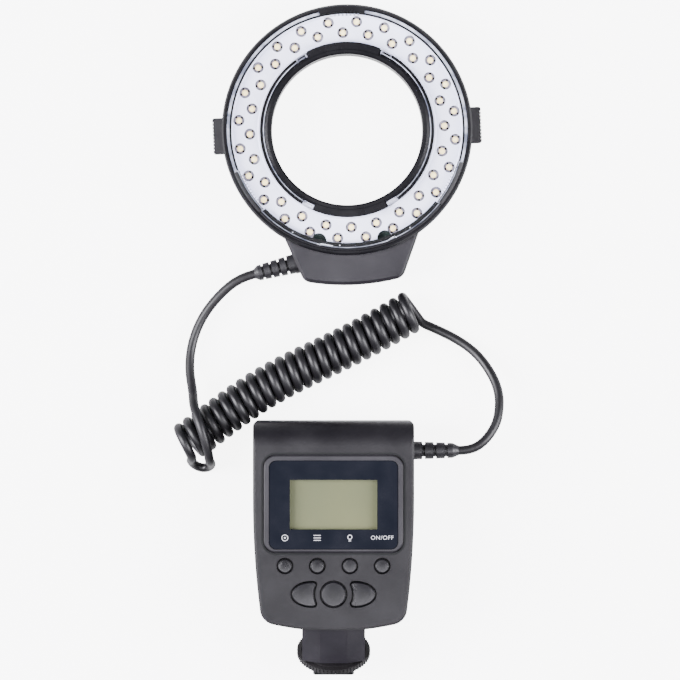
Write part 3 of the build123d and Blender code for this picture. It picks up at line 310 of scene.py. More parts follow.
# %% Handling: polish and dust
handling_group, start, end = new_group(
    "handling",
    [("Patch Scale", "NodeSocketFloat", 60.0), ("Dust", "NodeSocketFloat", 0.3)],
    [("Polish", "NodeSocketFloat"), ("Dust Mask", "NodeSocketFloat")],
)
place = coordinates(handling_group)
patches = noise(handling_group, place, start.outputs["Patch Scale"], 4.0, 0.6)
handling_group.links.new(spread(handling_group, patches, 0.3, 0.7), end.inputs["Polish"])
specks = spread(handling_group, noise(handling_group, place, 2600.0, 1.0, 0.4), 0.70, 0.76)
dust = calculate(handling_group, "MULTIPLY", specks, start.outputs["Dust"])
handling_group.links.new(dust, end.inputs["Dust Mask"])

# %% Parting line between two shells
LINE_HALF_WIDTH = 0.14 * MM
parting_group, start, end = new_group(
    "parting_line",
    [("Level", "NodeSocketFloat", 0.0), ("Half Width", "NodeSocketFloat", LINE_HALF_WIDTH)],
    [("Line Mask", "NodeSocketFloat")],
)
height = axes(parting_group, coordinates(parting_group))["Z"]
over_level = calculate(parting_group, "SUBTRACT", height, start.outputs["Level"])
away = calculate(parting_group, "ABSOLUTE", over_level, 0.0)
inside = calculate(parting_group, "LESS_THAN", away, start.outputs["Half Width"])
parting_group.links.new(inside, end.inputs["Line Mask"])

# %% Pillowed key top
PILLOW_FALL = -4.0
pillow_group, start, end = new_group(
    "pillowed_top", [("Rise", "NodeSocketFloat", 1.0)], [("Height", "NodeSocketFloat")]
)
across = axes(pillow_group, coordinates(pillow_group, "Generated"))
from_middle = [calculate(pillow_group, "SUBTRACT", across[axis], 0.5) for axis in "XY"]
squares = [calculate(pillow_group, "POWER", distance, 2.0) for distance in from_middle]
both = calculate(pillow_group, "ADD", *squares)
fall = calculate(pillow_group, "MULTIPLY", both, PILLOW_FALL)
raised = calculate(pillow_group, "MULTIPLY", fall, start.outputs["Rise"])
pillow_group.links.new(raised, end.inputs["Height"])

# %% [markdown]
# ## Finishes
#
# One function starts a material with a Principled shader, and a second one wires the shared effects into
# it: the base colour shifts a little with polish and dust, the roughness varies, and the grain becomes a
# bump. Image textures could do the same, but a pattern that is worked out needs no file and has no seams.
# Values that are the same all over stay on the shader's own sockets.

# %% Helpers for finishes


def start_material(name, **sockets):
    material = bpy.data.materials.new(name)
    material.use_nodes = True
    shader = material.node_tree.nodes["Principled BSDF"]
    for socket_name, value in sockets.items():
        shader.inputs[socket_name.replace("_", " ")].default_value = value
    return material, material.node_tree, shader


def place_group(tree, group, **values):
    node = tree.nodes.new("ShaderNodeGroup")
    node.node_tree = group
    for socket_name, value in values.items():
        node.inputs[socket_name.replace("_", " ")].default_value = value
    return node


def blend_colour(tree, factor, first, second):
    mix = tree.nodes.new("ShaderNodeMix")
    mix.data_type = "RGBA"
    tree.links.new(factor, mix.inputs[0])
    for socket, colour in ((mix.inputs[6], first), (mix.inputs[7], second)):
        if isinstance(colour, tuple):
            socket.default_value = (*colour, 1.0)
        else:
            tree.links.new(colour, socket)
    return mix.outputs[2]


def add_bump(tree, shader, height, distance, strength):
    relief = tree.nodes.new("ShaderNodeBump")
    relief.inputs["Strength"].default_value = strength
    relief.inputs["Distance"].default_value = distance
    tree.links.new(height, relief.inputs["Height"])
    tree.links.new(relief.outputs["Normal"], shader.inputs["Normal"])


# %% The moulded finish
DUST_COLOUR = (0.10, 0.10, 0.11)
LINE_COLOUR = (0.0012, 0.0012, 0.0014)
GRAIN_STRENGTH, PILLOW_STRENGTH = 0.5, 1.0


def moulded(
    name, dark, light, rough, grain=FINE_GRAIN, bump=0.04, dust=0.12, line=None, pillow=None, **sockets
):
    material, tree, shader = start_material(name, **sockets)
    grain_node = place_group(tree, grain_group, Grain_Scale=grain)
    handling_node = place_group(tree, handling_group, Dust=dust)
    tone = blend_colour(tree, handling_node.outputs["Polish"], dark, light)
    tone = blend_colour(tree, handling_node.outputs["Dust Mask"], tone, DUST_COLOUR)
    if line is not None:
        line_node = place_group(tree, parting_group, Level=line * MM)
        tone = blend_colour(tree, line_node.outputs["Line Mask"], tone, LINE_COLOUR)
    tree.links.new(tone, shader.inputs["Base Color"])
    polish = spread(tree, handling_node.outputs["Polish"], 0.0, 1.0, *rough)
    tree.links.new(polish, shader.inputs["Roughness"])
    height = grain_node.outputs["Height"]
    if pillow is not None:
        pillow_node = place_group(tree, pillow_group, Rise=pillow / bump)
        height = calculate(tree, "ADD", height, pillow_node.outputs["Height"])
    add_bump(tree, shader, height, bump * MM, PILLOW_STRENGTH if pillow else GRAIN_STRENGTH)
    return material


# %% Black plastics
SOFT_SHINE = 0.35
SHELL_PARTING, HOUSING_PARTING = 24.0, 15.9
shell_black = moulded(
    "shell_black", (0.0036, 0.0032, 0.0043), (0.0052, 0.0047, 0.0060), (0.34, 0.44),
    line=SHELL_PARTING, Specular_IOR_Level=0.32,
)
battery_black = moulded(
    "battery_black", (0.0046, 0.0043, 0.0053), (0.0066, 0.0062, 0.0074), (0.46, 0.56)
)
housing_black = moulded(
    "housing_black", (0.0048, 0.0044, 0.0056), (0.0066, 0.0061, 0.0076), (0.40, 0.50),
    line=HOUSING_PARTING, Specular_IOR_Level=SOFT_SHINE,
)
ring_black = moulded(
    "ring_black", (0.0030, 0.0029, 0.0038), (0.0045, 0.0043, 0.0054), (0.22, 0.32),
    bump=0.01, Specular_IOR_Level=SOFT_SHINE,
)
pod_grey = moulded(
    "pod_grey", (0.0078, 0.0070, 0.0092), (0.0106, 0.0096, 0.0122), (0.34, 0.42), Specular_IOR_Level=0.4
)
frame_grey = moulded(
    "frame_grey", (0.0105, 0.0098, 0.0120), (0.0140, 0.0130, 0.0158), (0.30, 0.40), bump=0.01
)
key_black = moulded(
    "key_black", (0.0030, 0.0028, 0.0038), (0.0044, 0.0041, 0.0054), (0.26, 0.34), bump=0.02, pillow=0.45
)
wheel_black = moulded(
    "wheel_black", (0.0048, 0.0042, 0.0048), (0.0070, 0.0062, 0.0070), (0.42, 0.55),
    Specular_IOR_Level=SOFT_SHINE,
)
yoke_nylon = moulded("yoke_nylon", (0.040, 0.040, 0.044), (0.052, 0.052, 0.056), (0.50, 0.60), dust=0.05)
print("finishes so far", len(bpy.data.materials))

# %% Grips, cord and painted shade
grip_black = moulded(
    "grip_black", (0.0078, 0.0072, 0.0090), (0.0104, 0.0097, 0.0120), (0.42, 0.52),
    Specular_IOR_Level=SOFT_SHINE,
)
cord_jacket = moulded(
    "cord_jacket", (0.0028, 0.0026, 0.0034), (0.0044, 0.0041, 0.0052), (0.38, 0.48),
    grain=3800.0, bump=0.02, Specular_IOR_Level=0.34,
)
relief_rubber = moulded(
    "relief_rubber", (0.0052, 0.0049, 0.0064), (0.0080, 0.0075, 0.0095), (0.40, 0.50),
    Specular_IOR_Level=0.4,
)
# A near-black finish for thin strips of painted shade, beside the cover's rims and round the window's frame.
painted_shade_black = moulded(
    "painted_shade_black", (0.0020, 0.0024, 0.0028), (0.0034, 0.0038, 0.0044), (0.40, 0.50),
    dust=0.0, Specular_IOR_Level=0.2,
)
print("finishes so far", len(bpy.data.materials))

# %% White plastics and lamps
reflector_white = moulded(
    "reflector_white", (0.74, 0.76, 0.93), (0.80, 0.82, 0.98), (0.24, 0.34), bump=0.004, dust=0.02
)
tray_white = moulded("tray_white", (0.50, 0.50, 0.50), (0.58, 0.58, 0.57), (0.45, 0.55), dust=0.05)
# The packages are grey-lilac, not white: painted shade for the shade that falls in the reflector's holes.
package_painted_shade = moulded(
    "package_painted_shade", (0.150, 0.142, 0.175), (0.240, 0.225, 0.250), (0.35, 0.45),
    grain=9000.0, bump=0.006, dust=0.0,
)
# The drops carry a faint painted glow: the lamps are off, and the glow only makes the cream brighter.
phosphor_cream_painted_glow = moulded(
    "phosphor_cream_painted_glow", (1.0, 0.78, 0.32), (1.0, 0.86, 0.44), (0.30, 0.42),
    grain=7000.0, bump=0.01, dust=0.0, Coat_Weight=0.4, Coat_Roughness=0.08,
    Emission_Color=(1.0, 0.76, 0.32, 1.0), Emission_Strength=0.7,
)
pad_brown = moulded(
    "pad_brown", (0.0060, 0.0038, 0.0030), (0.0120, 0.0080, 0.0062), (0.40, 0.50),
    dust=0.0, Specular_IOR_Level=0.2,
)
chip_red = moulded("chip_red", (0.085, 0.018, 0.016), (0.130, 0.032, 0.026), (0.24, 0.36), dust=0.0)
print("finishes so far", len(bpy.data.materials))

# %% Metals, sleeves and inks
brushed_nickel = moulded(
    "brushed_nickel", (0.42, 0.42, 0.43), (0.52, 0.52, 0.53), (0.28, 0.40),
    bump=0.006, dust=0.05, Metallic=1.0,
)
foot_black = moulded(
    "foot_black", (0.0070, 0.0070, 0.0076), (0.014, 0.014, 0.015), (0.28, 0.40),
    bump=0.006, dust=0.05, Metallic=0.5,
)
screw_black = moulded(
    "screw_black", (0.030, 0.030, 0.032), (0.050, 0.050, 0.053), (0.30, 0.42), bump=0.006, Metallic=0.8
)
pin_gold = moulded(
    "pin_gold", (0.78, 0.56, 0.22), (0.86, 0.65, 0.30), (0.22, 0.30), dust=0.0, Metallic=1.0
)
cell_sleeve = moulded(
    "cell_sleeve", (0.10, 0.11, 0.13), (0.13, 0.14, 0.16), (0.25, 0.32), bump=0.004, dust=0.0
)
ink_white = moulded(
    "ink_white", (0.30, 0.30, 0.31), (0.38, 0.38, 0.39), (0.50, 0.60), bump=0.004, dust=0.0
)
mark_grey = moulded(
    "mark_grey", (0.0018, 0.0018, 0.0022), (0.0030, 0.0028, 0.0034), (0.34, 0.42), bump=0.004, dust=0.0
)
print("finishes so far", len(bpy.data.materials))

# %% [markdown]
# ## Circuit board, display and clear plastics
#
# The board is solder mask over copper tracks, so its colour follows a thin grid of bricks. The display is
# a blank olive panel with the faint cell pattern of a reflective LCD. The front window is printed
# blue-black on its back except over the display. Two sheets could show that, but the real window is one, so
# one material is opaque outside a rectangle and nearly clear inside it. The lamp cover is clear:
# see-through from the front, and more visible at its edges.

# %% Circuit board
board_green, tree, shader = start_material("board_green", Coat_Weight=0.3, Coat_Roughness=0.1)
place = coordinates(tree)
tracks = tree.nodes.new("ShaderNodeTexBrick")
tracks.inputs["Scale"].default_value = 420.0
tracks.inputs["Mortar Size"].default_value = 0.05
tree.links.new(place, tracks.inputs["Vector"])
masked = blend_colour(tree, tracks.outputs["Fac"], (0.0010, 0.0060, 0.0050), (0.0020, 0.0130, 0.0095))
tree.links.new(masked, shader.inputs["Base Color"])
tree.links.new(spread(tree, noise(tree, place, 300.0), 0.3, 0.7, 0.28, 0.40), shader.inputs["Roughness"])
print("finish", board_green.name)

# %% Display
lcd_olive, tree, shader = start_material("lcd_olive", Coat_Weight=0.2)
place = coordinates(tree)
cloud = noise(tree, place, 28.0, 1.0)
cells = tree.nodes.new("ShaderNodeTexChecker")
cells.inputs["Scale"].default_value = 2400.0
cells.inputs["Color1"].default_value = (0.090, 0.099, 0.046, 1.0)
cells.inputs["Color2"].default_value = (0.086, 0.095, 0.044, 1.0)
tree.links.new(place, cells.inputs["Vector"])
clouded = spread(tree, cloud, 0.35, 0.65)
tinted = blend_colour(tree, clouded, cells.outputs["Color"], (0.102, 0.108, 0.045))
tree.links.new(tinted, shader.inputs["Base Color"])
tree.links.new(spread(tree, cloud, 0.3, 0.7, 0.42, 0.50), shader.inputs["Roughness"])
print("finish", lcd_olive.name)

# %% Window with its printed border
LCD_HALF_WIDTH, LCD_TOP, LCD_BOTTOM = 19.6, 26.3, 48.6
CLEAR_ALPHA = 0.08
lcd_middle_y = TOP_Y - (LCD_TOP + LCD_BOTTOM) / 2
window_print, tree, shader = start_material("window_print", Coat_Weight=0.5, Coat_Roughness=0.04, IOR=1.49)
place = coordinates(tree)
parts = axes(tree, place)
outside = []
for axis, middle, half in (
    ("X", CONTROLLER_X, LCD_HALF_WIDTH),
    ("Y", lcd_middle_y, (LCD_BOTTOM - LCD_TOP) / 2),
):
    away = calculate(tree, "ABSOLUTE", calculate(tree, "SUBTRACT", parts[axis], middle * MM), 0.0)
    outside.append(calculate(tree, "GREATER_THAN", away, half * MM))
printed = calculate(tree, "MAXIMUM", *outside)
tree.links.new(spread(tree, printed, 0.0, 1.0, CLEAR_ALPHA, 1.0), shader.inputs["Alpha"])
cloudy = noise(tree, place, 90.0, 3.0)
clouded = spread(tree, cloudy, 0.3, 0.7)
border = blend_colour(tree, clouded, (0.0034, 0.0042, 0.0072), (0.0050, 0.0058, 0.0092))
tree.links.new(border, shader.inputs["Base Color"])
tree.links.new(spread(tree, cloudy, 0.3, 0.7, 0.10, 0.18), shader.inputs["Roughness"])
print("finish", window_print.name)

# %% Clear lamp cover
cover_clear, tree, shader = start_material("cover_clear", IOR=1.49, Transmission_Weight=1.0)
shader.inputs["Base Color"].default_value = (0.95, 0.97, 1.0, 1.0)
edge = tree.nodes.new("ShaderNodeLayerWeight")
edge.inputs["Blend"].default_value = 0.3
tree.links.new(spread(tree, edge.outputs["Facing"], 0.3, 1.0, 0.14, 0.5), shader.inputs["Alpha"])
scuffs = noise(tree, coordinates(tree), 120.0, 3.0)
tree.links.new(spread(tree, scuffs, 0.3, 0.7, 0.02, 0.06), shader.inputs["Roughness"])
print("finish", cover_clear.name)

# %% Painted highlight for the light caught in the clear cover's rims
FAINT_BELOW, FULL_ABOVE = HEAD_Y - 34.0, HEAD_Y - 4.0
# Pale films of painted highlight stand in for the light that the cover's rims catch.
rim_painted_highlight, tree, shader = start_material("rim_painted_highlight", Coat_Weight=0.5, Coat_Roughness=0.06)
place = coordinates(tree)
streaks = spread(tree, noise(tree, place, 150.0, 3.0, 0.6), 0.35, 0.65)
highlight_tone = blend_colour(tree, streaks, (0.10, 0.11, 0.15), (0.44, 0.46, 0.54))
tree.links.new(highlight_tone, shader.inputs["Base Color"])
# The painted highlight grows stronger towards the top of the ring.
stronger_toward_top = spread(tree, axes(tree, place)["Y"], FAINT_BELOW * MM, FULL_ABOVE * MM, 0.34, 0.95)
tree.links.new(stronger_toward_top, shader.inputs["Alpha"])
tree.links.new(spread(tree, streaks, 0.0, 1.0, 0.16, 0.30), shader.inputs["Roughness"])
clip_pale = moulded(
    "clip_pale", (0.50, 0.52, 0.58), (0.78, 0.80, 0.86), (0.14, 0.24), dust=0.0, Coat_Weight=0.5
)
print("finishes so far", len(bpy.data.materials))

# %% Give every CAD piece its finish
finishes = {
    shell_black: ["controller_panel_shell", "controller_base_shell"],
    battery_black: ["battery_door"],
    housing_black: ["ring_rear_housing"],
    ring_black: ["ring_front_bezel", "inner_collar"],
    pod_grey: ["pod_front_cover", "foot_stem"],
    frame_grey: ["window_bezel"],
    key_black: [
        "pilot_key", "mode_key", "backlight_key", "power_key", "decrease_key", "test_key", "increase_key",
    ],
    grip_black: ["left_release_button", "right_release_button"],
    wheel_black: ["lock_wheel"],
    yoke_nylon: ["left_claw_yoke", "right_claw_yoke"],
    cord_jacket: ["cord_head_lead", "cord_coil", "cord_controller_lead"],
    relief_rubber: ["head_strain_relief", "controller_strain_relief"],
    reflector_white: ["reflector_plate"],
    tray_white: ["battery_tray"],
    package_painted_shade: ["leds"],
    board_green: ["led_board", "driver_board", "key_board"],
    lcd_olive: ["lcd_module"],
    window_print: ["display_window"],
    cover_clear: ["clear_front_cover"],
    foot_black: ["clamp_washer", "shoe_foot"],
    brushed_nickel: [
        "battery_contacts", "key_switches", "sync_spring", "left_release_spring", "right_release_spring",
    ],
    screw_black: ["ring_screws", "shell_screws", "foot_screws"],
    pin_gold: ["sync_pin"],
    cell_sleeve: ["aa_cells"],
}


def dress(piece, material):
    piece.data.materials.clear()
    piece.data.materials.append(material)


for material, names in finishes.items():
    for name in names:
        dress(nodes[name], material)
curve.materials.append(cord_jacket)
undressed = sorted(set(nodes) - {name for names in finishes.values() for name in names})
print("without a finish:", undressed)

# %% [markdown]
# ## Lamps
#
# Each lamp is a square package that shows through a round hole of the reflector. Its grey-lilac colour is
# painted shade for the shade in the hole. In it lies a round drop of cream phosphor gel with a faint painted
# glow, and small dark solder feet show at most of its corners. The drops are low domes, built ring by ring
# and joined in one mesh, because 48 separate objects would only be harder to handle.

# %% Mesh helpers


def add_piece(name, points, faces, body, material, smooth=False):
    mesh = bpy.data.meshes.new(name)
    mesh.from_pydata([tuple(point) for point in points], [], faces)
    mesh.update()
    work = bmesh.new()
    work.from_mesh(mesh)
    bmesh.ops.recalc_face_normals(work, faces=work.faces)
    work.to_mesh(mesh)
    work.free()
    if smooth:
        mesh.polygons.foreach_set("use_smooth", [True] * len(mesh.polygons))
    piece = bpy.data.objects.new(name, mesh)
    bpy.context.scene.collection.objects.link(piece)
    dress(piece, material)
    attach(piece, body)
    print(name, len(mesh.polygons), "faces")
    return piece


def add_prism(points, faces, outline, bottom, top, to_world):
    base = len(points)
    count = len(outline)
    points += [to_world(x, y, bottom) * MM for x, y in outline]
    points += [to_world(x, y, top) * MM for x, y in outline]
    faces.append(tuple(base + index for index in reversed(range(count))))
    faces.append(tuple(base + count + index for index in range(count)))
    for index in range(count):
        after = (index + 1) % count
        faces.append((base + index, base + after, base + count + after, base + count + index))


def disc(middle_x, middle_y, radius, sides=28, begin=0.0):
    turns = [begin + 2 * pi * index / sides for index in range(sides)]
    return [(middle_x + radius * cos(turn), middle_y + radius * sin(turn)) for turn in turns]


# %% Phosphor drops
LAMP_RINGS = ((44.0, 0.0), (49.1, 0.5))
LAMPS_PER_RING = 24
PACKAGE_TOP = 18.2
DOME = [(1.38, 0.0), (1.30, 0.14), (1.08, 0.26), (0.72, 0.34), (0.32, 0.37)]
DOME_SIDES = 20


def lamp_centres():
    for radius, offset in LAMP_RINGS:
        for index in range(LAMPS_PER_RING):
            angle = radians(90) + 2 * pi * (index + offset) / LAMPS_PER_RING
            yield radius * cos(angle), radius * sin(angle), angle


points, faces = [], []
for lamp_x, lamp_y, angle in lamp_centres():
    base = len(points)
    for ring_radius, lift in DOME:
        outline = disc(lamp_x, lamp_y, ring_radius, DOME_SIDES)
        points += [head_point(x, y, PACKAGE_TOP + lift) * MM for x, y in outline]
    for low in range(base, base + (len(DOME) - 1) * DOME_SIDES, DOME_SIDES):
        high = low + DOME_SIDES
        for side in range(DOME_SIDES):
            after = (side + 1) % DOME_SIDES
            faces.append((low + side, low + after, high + after, high + side))
    faces.append(tuple(high + side for side in range(DOME_SIDES)))
    faces.append(tuple(base + side for side in reversed(range(DOME_SIDES))))
add_piece("phosphor_drops", points, faces, "flash", phosphor_cream_painted_glow, smooth=True)

# %% Solder feet at the corners of the packages
FOOT_OUT, FOOT_HALF = 1.34, 0.56
FOOT_LOW, FOOT_HIGH = PACKAGE_TOP + 0.005, PACKAGE_TOP + 0.30


def foot_is_hidden(corner, angle):
    return (corner + round(angle * 7)) % 5 == 0


points, faces = [], []
for lamp_x, lamp_y, angle in lamp_centres():
    for corner in range(4):
        if foot_is_hidden(corner, angle):
            continue
        turn = angle + radians(45 + 90 * corner)
        foot_x = lamp_x + FOOT_OUT * 2**0.5 * cos(turn)
        foot_y = lamp_y + FOOT_OUT * 2**0.5 * sin(turn)
        add_prism(points, faces, disc(foot_x, foot_y, FOOT_HALF, 6, turn), FOOT_LOW, FOOT_HIGH, head_point)
add_piece("package_feet", points, faces, "flash", pad_brown)

# %% [markdown]
# ## What shows at the cover's rims
#
# A clear cover gathers light at its rims, so its outer and inner edge shine. That light is painted here:
# pale bands of painted highlight lie on both rims, and thin dark bands of painted shade beside the outer
# one.
# Near the foot of the ring the rim steps in on both sides. There a shelf of the bezel lies outside it, and
# pale clips and a small red chip show under the cover. Two short dark bridges lie beside the collar, and
# small pale strips of painted highlight lie on the ribs at the top of the ring. Bands like these could come
# from very exact glass rendering, but thin separate rings are steady at any sample count and keep their look
# in other programs.

# %% Rim bands of painted highlight
# Each band has its inner and outer radius, and its spans as a start and a sweep in degrees.
COVER_TOP = 23.8
FILM_LOW, FILM_HIGH = COVER_TOP + 0.005, COVER_TOP + 0.03
UPPER, LOWER = (-18.5, 217.0), (221.5, 97.0)
STEPS_IN = ((198.5, 22.5), (319.0, 22.5))
TICK_STARTS, TICK_COUNT, TICK_STEP, TICK_SWEEP = (201.0, 321.5), 11, 1.6, 0.5
ticks = [(begin + tick * TICK_STEP, TICK_SWEEP) for begin in TICK_STARTS for tick in range(TICK_COUNT)]
PAINTED_RIM_HIGHLIGHTS = (
    (53.1, 54.3, (UPPER,)),
    (53.05, 53.45, (LOWER,)),
    (52.4, 52.75, STEPS_IN),
    (52.4, 53.6, ((198.0, 0.7), (220.6, 0.7), (318.8, 0.7), (341.2, 0.7))),
    (37.55, 37.95, ((117.0, 126.0), (297.0, 126.0))),
    (51.1, 52.1, ticks),
)


def add_arc(points, faces, section, begin, sweep):
    steps = max(2, round(sweep))
    base = len(points)
    count = len(section)
    for station in range(steps + 1):
        angle = radians(begin + sweep * station / steps)
        points += [head_point(radius * cos(angle), radius * sin(angle), z) * MM for radius, z in section]
    for here in range(base, base + steps * count, count):
        there = here + count
        for side in range(count):
            after = (side + 1) % count
            faces.append((here + side, here + after, there + after, there + side))
    faces.append(tuple(base + side for side in reversed(range(count))))
    faces.append(tuple(there + side for side in range(count)))


def add_bands(points, faces, bands, low, high):
    for inner, outer, spans in bands:
        for begin, sweep in spans:
            add_arc(points, faces, [(inner, low), (outer, low), (outer, high), (inner, high)], begin, sweep)


points, faces = [], []
add_bands(points, faces, PAINTED_RIM_HIGHLIGHTS, FILM_LOW, FILM_HIGH)
add_piece("cover_painted_rim_bands", points, faces, "flash", rim_painted_highlight)

# %% Painted shade and bridges under the cover
UNDER_COVER_LOW, UNDER_COVER_HIGH = 22.32, 22.56
RIM_SHADE_BANDS = (
    (52.25, 52.95, (UPPER,)),
    (51.2, 53.0, (LOWER,)),
    (52.0, 52.35, STEPS_IN),
    (52.8, 53.05, STEPS_IN),
)
BRIDGE_BANDS = ((36.5, 38.8, ((57.0, 6.0), (117.0, 6.0))),)
# Thin near-black bands under the cover are painted shade beside the rims' pale bands.
points, faces = [], []
add_bands(points, faces, RIM_SHADE_BANDS, UNDER_COVER_LOW, UNDER_COVER_HIGH)
add_piece("cover_rim_painted_shade", points, faces, "flash", painted_shade_black)

points, faces = [], []
add_bands(points, faces, BRIDGE_BANDS, UNDER_COVER_LOW, UNDER_COVER_HIGH)
add_piece("collar_bridges", points, faces, "flash", ring_black)

# %% Shelf of the bezel
SHELF_OUTER, SHELF_LOW = 54.58, 23.84
STEP_INNER, LOWER_INNER = 53.1, 53.6


def shelf_section(inner):
    return [
        (inner, SHELF_LOW),
        (SHELF_OUTER, SHELF_LOW),
        (SHELF_OUTER, SHELF_LOW + 0.36),
        (SHELF_OUTER - 0.28, SHELF_LOW + 0.52),
        (inner + 0.3, SHELF_LOW + 0.32),
        (inner, SHELF_LOW + 0.12),
    ]


points, faces = [], []
for begin, sweep in STEPS_IN:
    add_arc(points, faces, shelf_section(STEP_INNER), begin, sweep)
add_arc(points, faces, shelf_section(LOWER_INNER), *LOWER)
add_piece("bezel_shelf", points, faces, "flash", housing_black)

# %% Clips under the lower rim
CLIP_LOW, CLIP_HIGH, CLIP_WIDTH, DOT_RADIUS = 22.585, 22.595, 0.5, 0.32
CLIP_PATHS = (
    [(-15.6, -50.9), (-14.2, -51.5)],
    [(-14.0, -51.0), (-9.0, -52.1)],
    [(13.2, -52.2), (16.0, -50.9)],
    [(16.6, -50.6), (19.2, -49.0), (21.2, -50.2)],
)
DOT_PLACES = ((-26.6, -45.2), (-19.2, -51.0), (-5.6, -52.1), (-10.8, -53.6), (26.4, -45.4))


def add_ribbon(points, faces, path):
    corners = [Vector(corner) for corner in path]
    for begin, end in zip(corners, corners[1:]):
        along = (end - begin).normalized() * CLIP_WIDTH / 2
        side = Vector((-along.y, along.x))
        outline = [begin - along - side, end + along - side, end + along + side, begin - along + side]
        add_prism(points, faces, outline, CLIP_LOW, CLIP_HIGH, head_point)


points, faces = [], []
for path in CLIP_PATHS:
    add_ribbon(points, faces, path)
for x, y in DOT_PLACES:
    add_prism(points, faces, disc(x, y, DOT_RADIUS, 4, pi), CLIP_LOW, CLIP_HIGH, head_point)
add_piece("cover_clips", points, faces, "flash", clip_pale)

# %% Chip in the lower notch
CHIP_LEFT, CHIP_NEAR, CHIP_RIGHT, CHIP_FAR = 0.0, -52.6, 3.3, -50.5
CHIP_TIERS = ((0.0, 17.21, 18.1), (0.3, 18.1, 18.25))


def bar(left, near, right, far):
    return [(left, near), (right, near), (right, far), (left, far)]


points, faces = [], []
for inset, low, high in CHIP_TIERS:
    outline = bar(CHIP_LEFT + inset, CHIP_NEAR + inset, CHIP_RIGHT - inset, CHIP_FAR - inset)
    add_prism(points, faces, outline, low, high, head_point)
add_piece("notch_chip", points, faces, "flash", chip_red)

# %% Painted highlights on the snap ribs at the top of the ring
RIB_COUNT, RIB_FIRST_X, RIB_STEP, RIB_WIDTH = 7, -3.6, 1.75, 0.7
RIB_NEAR, RIB_FAR, RIB_LOW, RIB_HIGH = 51.25, 52.05, 24.405, 24.43
# Thin pale strips of painted highlight lie on the snap ribs.
points, faces = [], []
for index in range(RIB_COUNT):
    left = RIB_FIRST_X + index * RIB_STEP
    add_prism(
        points, faces, bar(left, RIB_NEAR, left + RIB_WIDTH, RIB_FAR), RIB_LOW, RIB_HIGH, head_point
    )
add_piece("snap_rib_painted_highlights", points, faces, "flash", rim_painted_highlight)

# %% [markdown]
# ## Marks on the window and the keys
#
# White prints at the window's foot tell what the keys below them do: a dot in a ring for the pilot lamp,
# three bars for the mode, a bulb for the light, and ON/OFF. The round keys carry faint dark marks, two
# arrows and a flash bolt, and a thin dark strip of painted shade runs round the window's frame, for the
# shade in the gap there. A picture texture could carry all of them, but thin solids of ink stay sharp in a
# close view and need no file.

# %% Printed pictograms
PRINT_LOW, PRINT_HIGH, PRINT_DOWN = 40.205, 40.23, 52.3
PILOT_X, MODE_X, LIGHT_X, POWER_X = -21.8, -7.3, 7.3, 21.8
STRIPE_HALF_WIDTH, STRIPE_HALF_HEIGHT = 1.6, 0.17
THREAD_HALF_WIDTH, THREAD_HEIGHT = 0.55, 0.25
BULB_DOWN = PRINT_DOWN - 0.35


def panel_point(x, down, z):
    return Vector((CONTROLLER_X + x, TOP_Y - down, z))


def add_band(points, faces, inner_line, outer_line, low, high):
    base = len(points)
    count = len(inner_line)
    for line in (inner_line, outer_line):
        for height in (low, high):
            points += [panel_point(x, down, height) * MM for x, down in line]
    inner_low, inner_high, outer_low, outer_high = (base + count * index for index in range(4))
    for side in range(count):
        after = (side + 1) % count
        faces.append((inner_high + side, inner_high + after, outer_high + after, outer_high + side))
        faces.append((outer_low + side, outer_low + after, inner_low + after, inner_low + side))
        faces.append((outer_high + side, outer_high + after, outer_low + after, outer_low + side))
        faces.append((inner_low + side, inner_low + after, inner_high + after, inner_high + side))


points, faces = [], []
pilot_ring = disc(PILOT_X, PRINT_DOWN, 1.2), disc(PILOT_X, PRINT_DOWN, 1.5)
add_band(points, faces, *pilot_ring, PRINT_LOW, PRINT_HIGH)
add_prism(points, faces, disc(PILOT_X, PRINT_DOWN, 0.45, 16), PRINT_LOW, PRINT_HIGH, panel_point)
for shift in (-1.1, 0.0, 1.1):
    near, far = PRINT_DOWN + shift - STRIPE_HALF_HEIGHT, PRINT_DOWN + shift + STRIPE_HALF_HEIGHT
    stripe = bar(MODE_X - STRIPE_HALF_WIDTH, near, MODE_X + STRIPE_HALF_WIDTH, far)
    add_prism(points, faces, stripe, PRINT_LOW, PRINT_HIGH, panel_point)
bulb = disc(LIGHT_X, BULB_DOWN, 0.75), disc(LIGHT_X, BULB_DOWN, 1.1)
add_band(points, faces, *bulb, PRINT_LOW, PRINT_HIGH)
for shift in (0.85, 1.3):
    near = PRINT_DOWN + shift
    thread = bar(LIGHT_X - THREAD_HALF_WIDTH, near, LIGHT_X + THREAD_HALF_WIDTH, near + THREAD_HEIGHT)
    add_prism(points, faces, thread, PRINT_LOW, PRINT_HIGH, panel_point)
add_piece("key_pictograms", points, faces, "flash", ink_white)

# %% Painted shade in the gap round the window's frame
FRAME_HALF_WIDTH, FRAME_TOP, FRAME_FOOT, FRAME_CORNER = 31.8, 14.8, 59.3, 5.8
SHADE_STRIP_LOW, SHADE_STRIP_HIGH, SHADE_STRIP_INSIDE, SHADE_STRIP_OUTSIDE = 40.005, 40.02, -0.05, 0.75
CORNER_STEPS = 8


def frame_line(grow):
    line = []
    radius = FRAME_CORNER + grow
    for corner_x, at_foot, begin in ((1, True, 0), (-1, True, 90), (-1, False, 180), (1, False, 270)):
        middle_x = corner_x * (FRAME_HALF_WIDTH - FRAME_CORNER)
        middle_down = FRAME_FOOT - FRAME_CORNER if at_foot else FRAME_TOP + FRAME_CORNER
        for index in range(CORNER_STEPS + 1):
            turn = radians(begin + 90 * index / CORNER_STEPS)
            line.append((middle_x + radius * cos(turn), middle_down + radius * sin(turn)))
    return line


points, faces = [], []
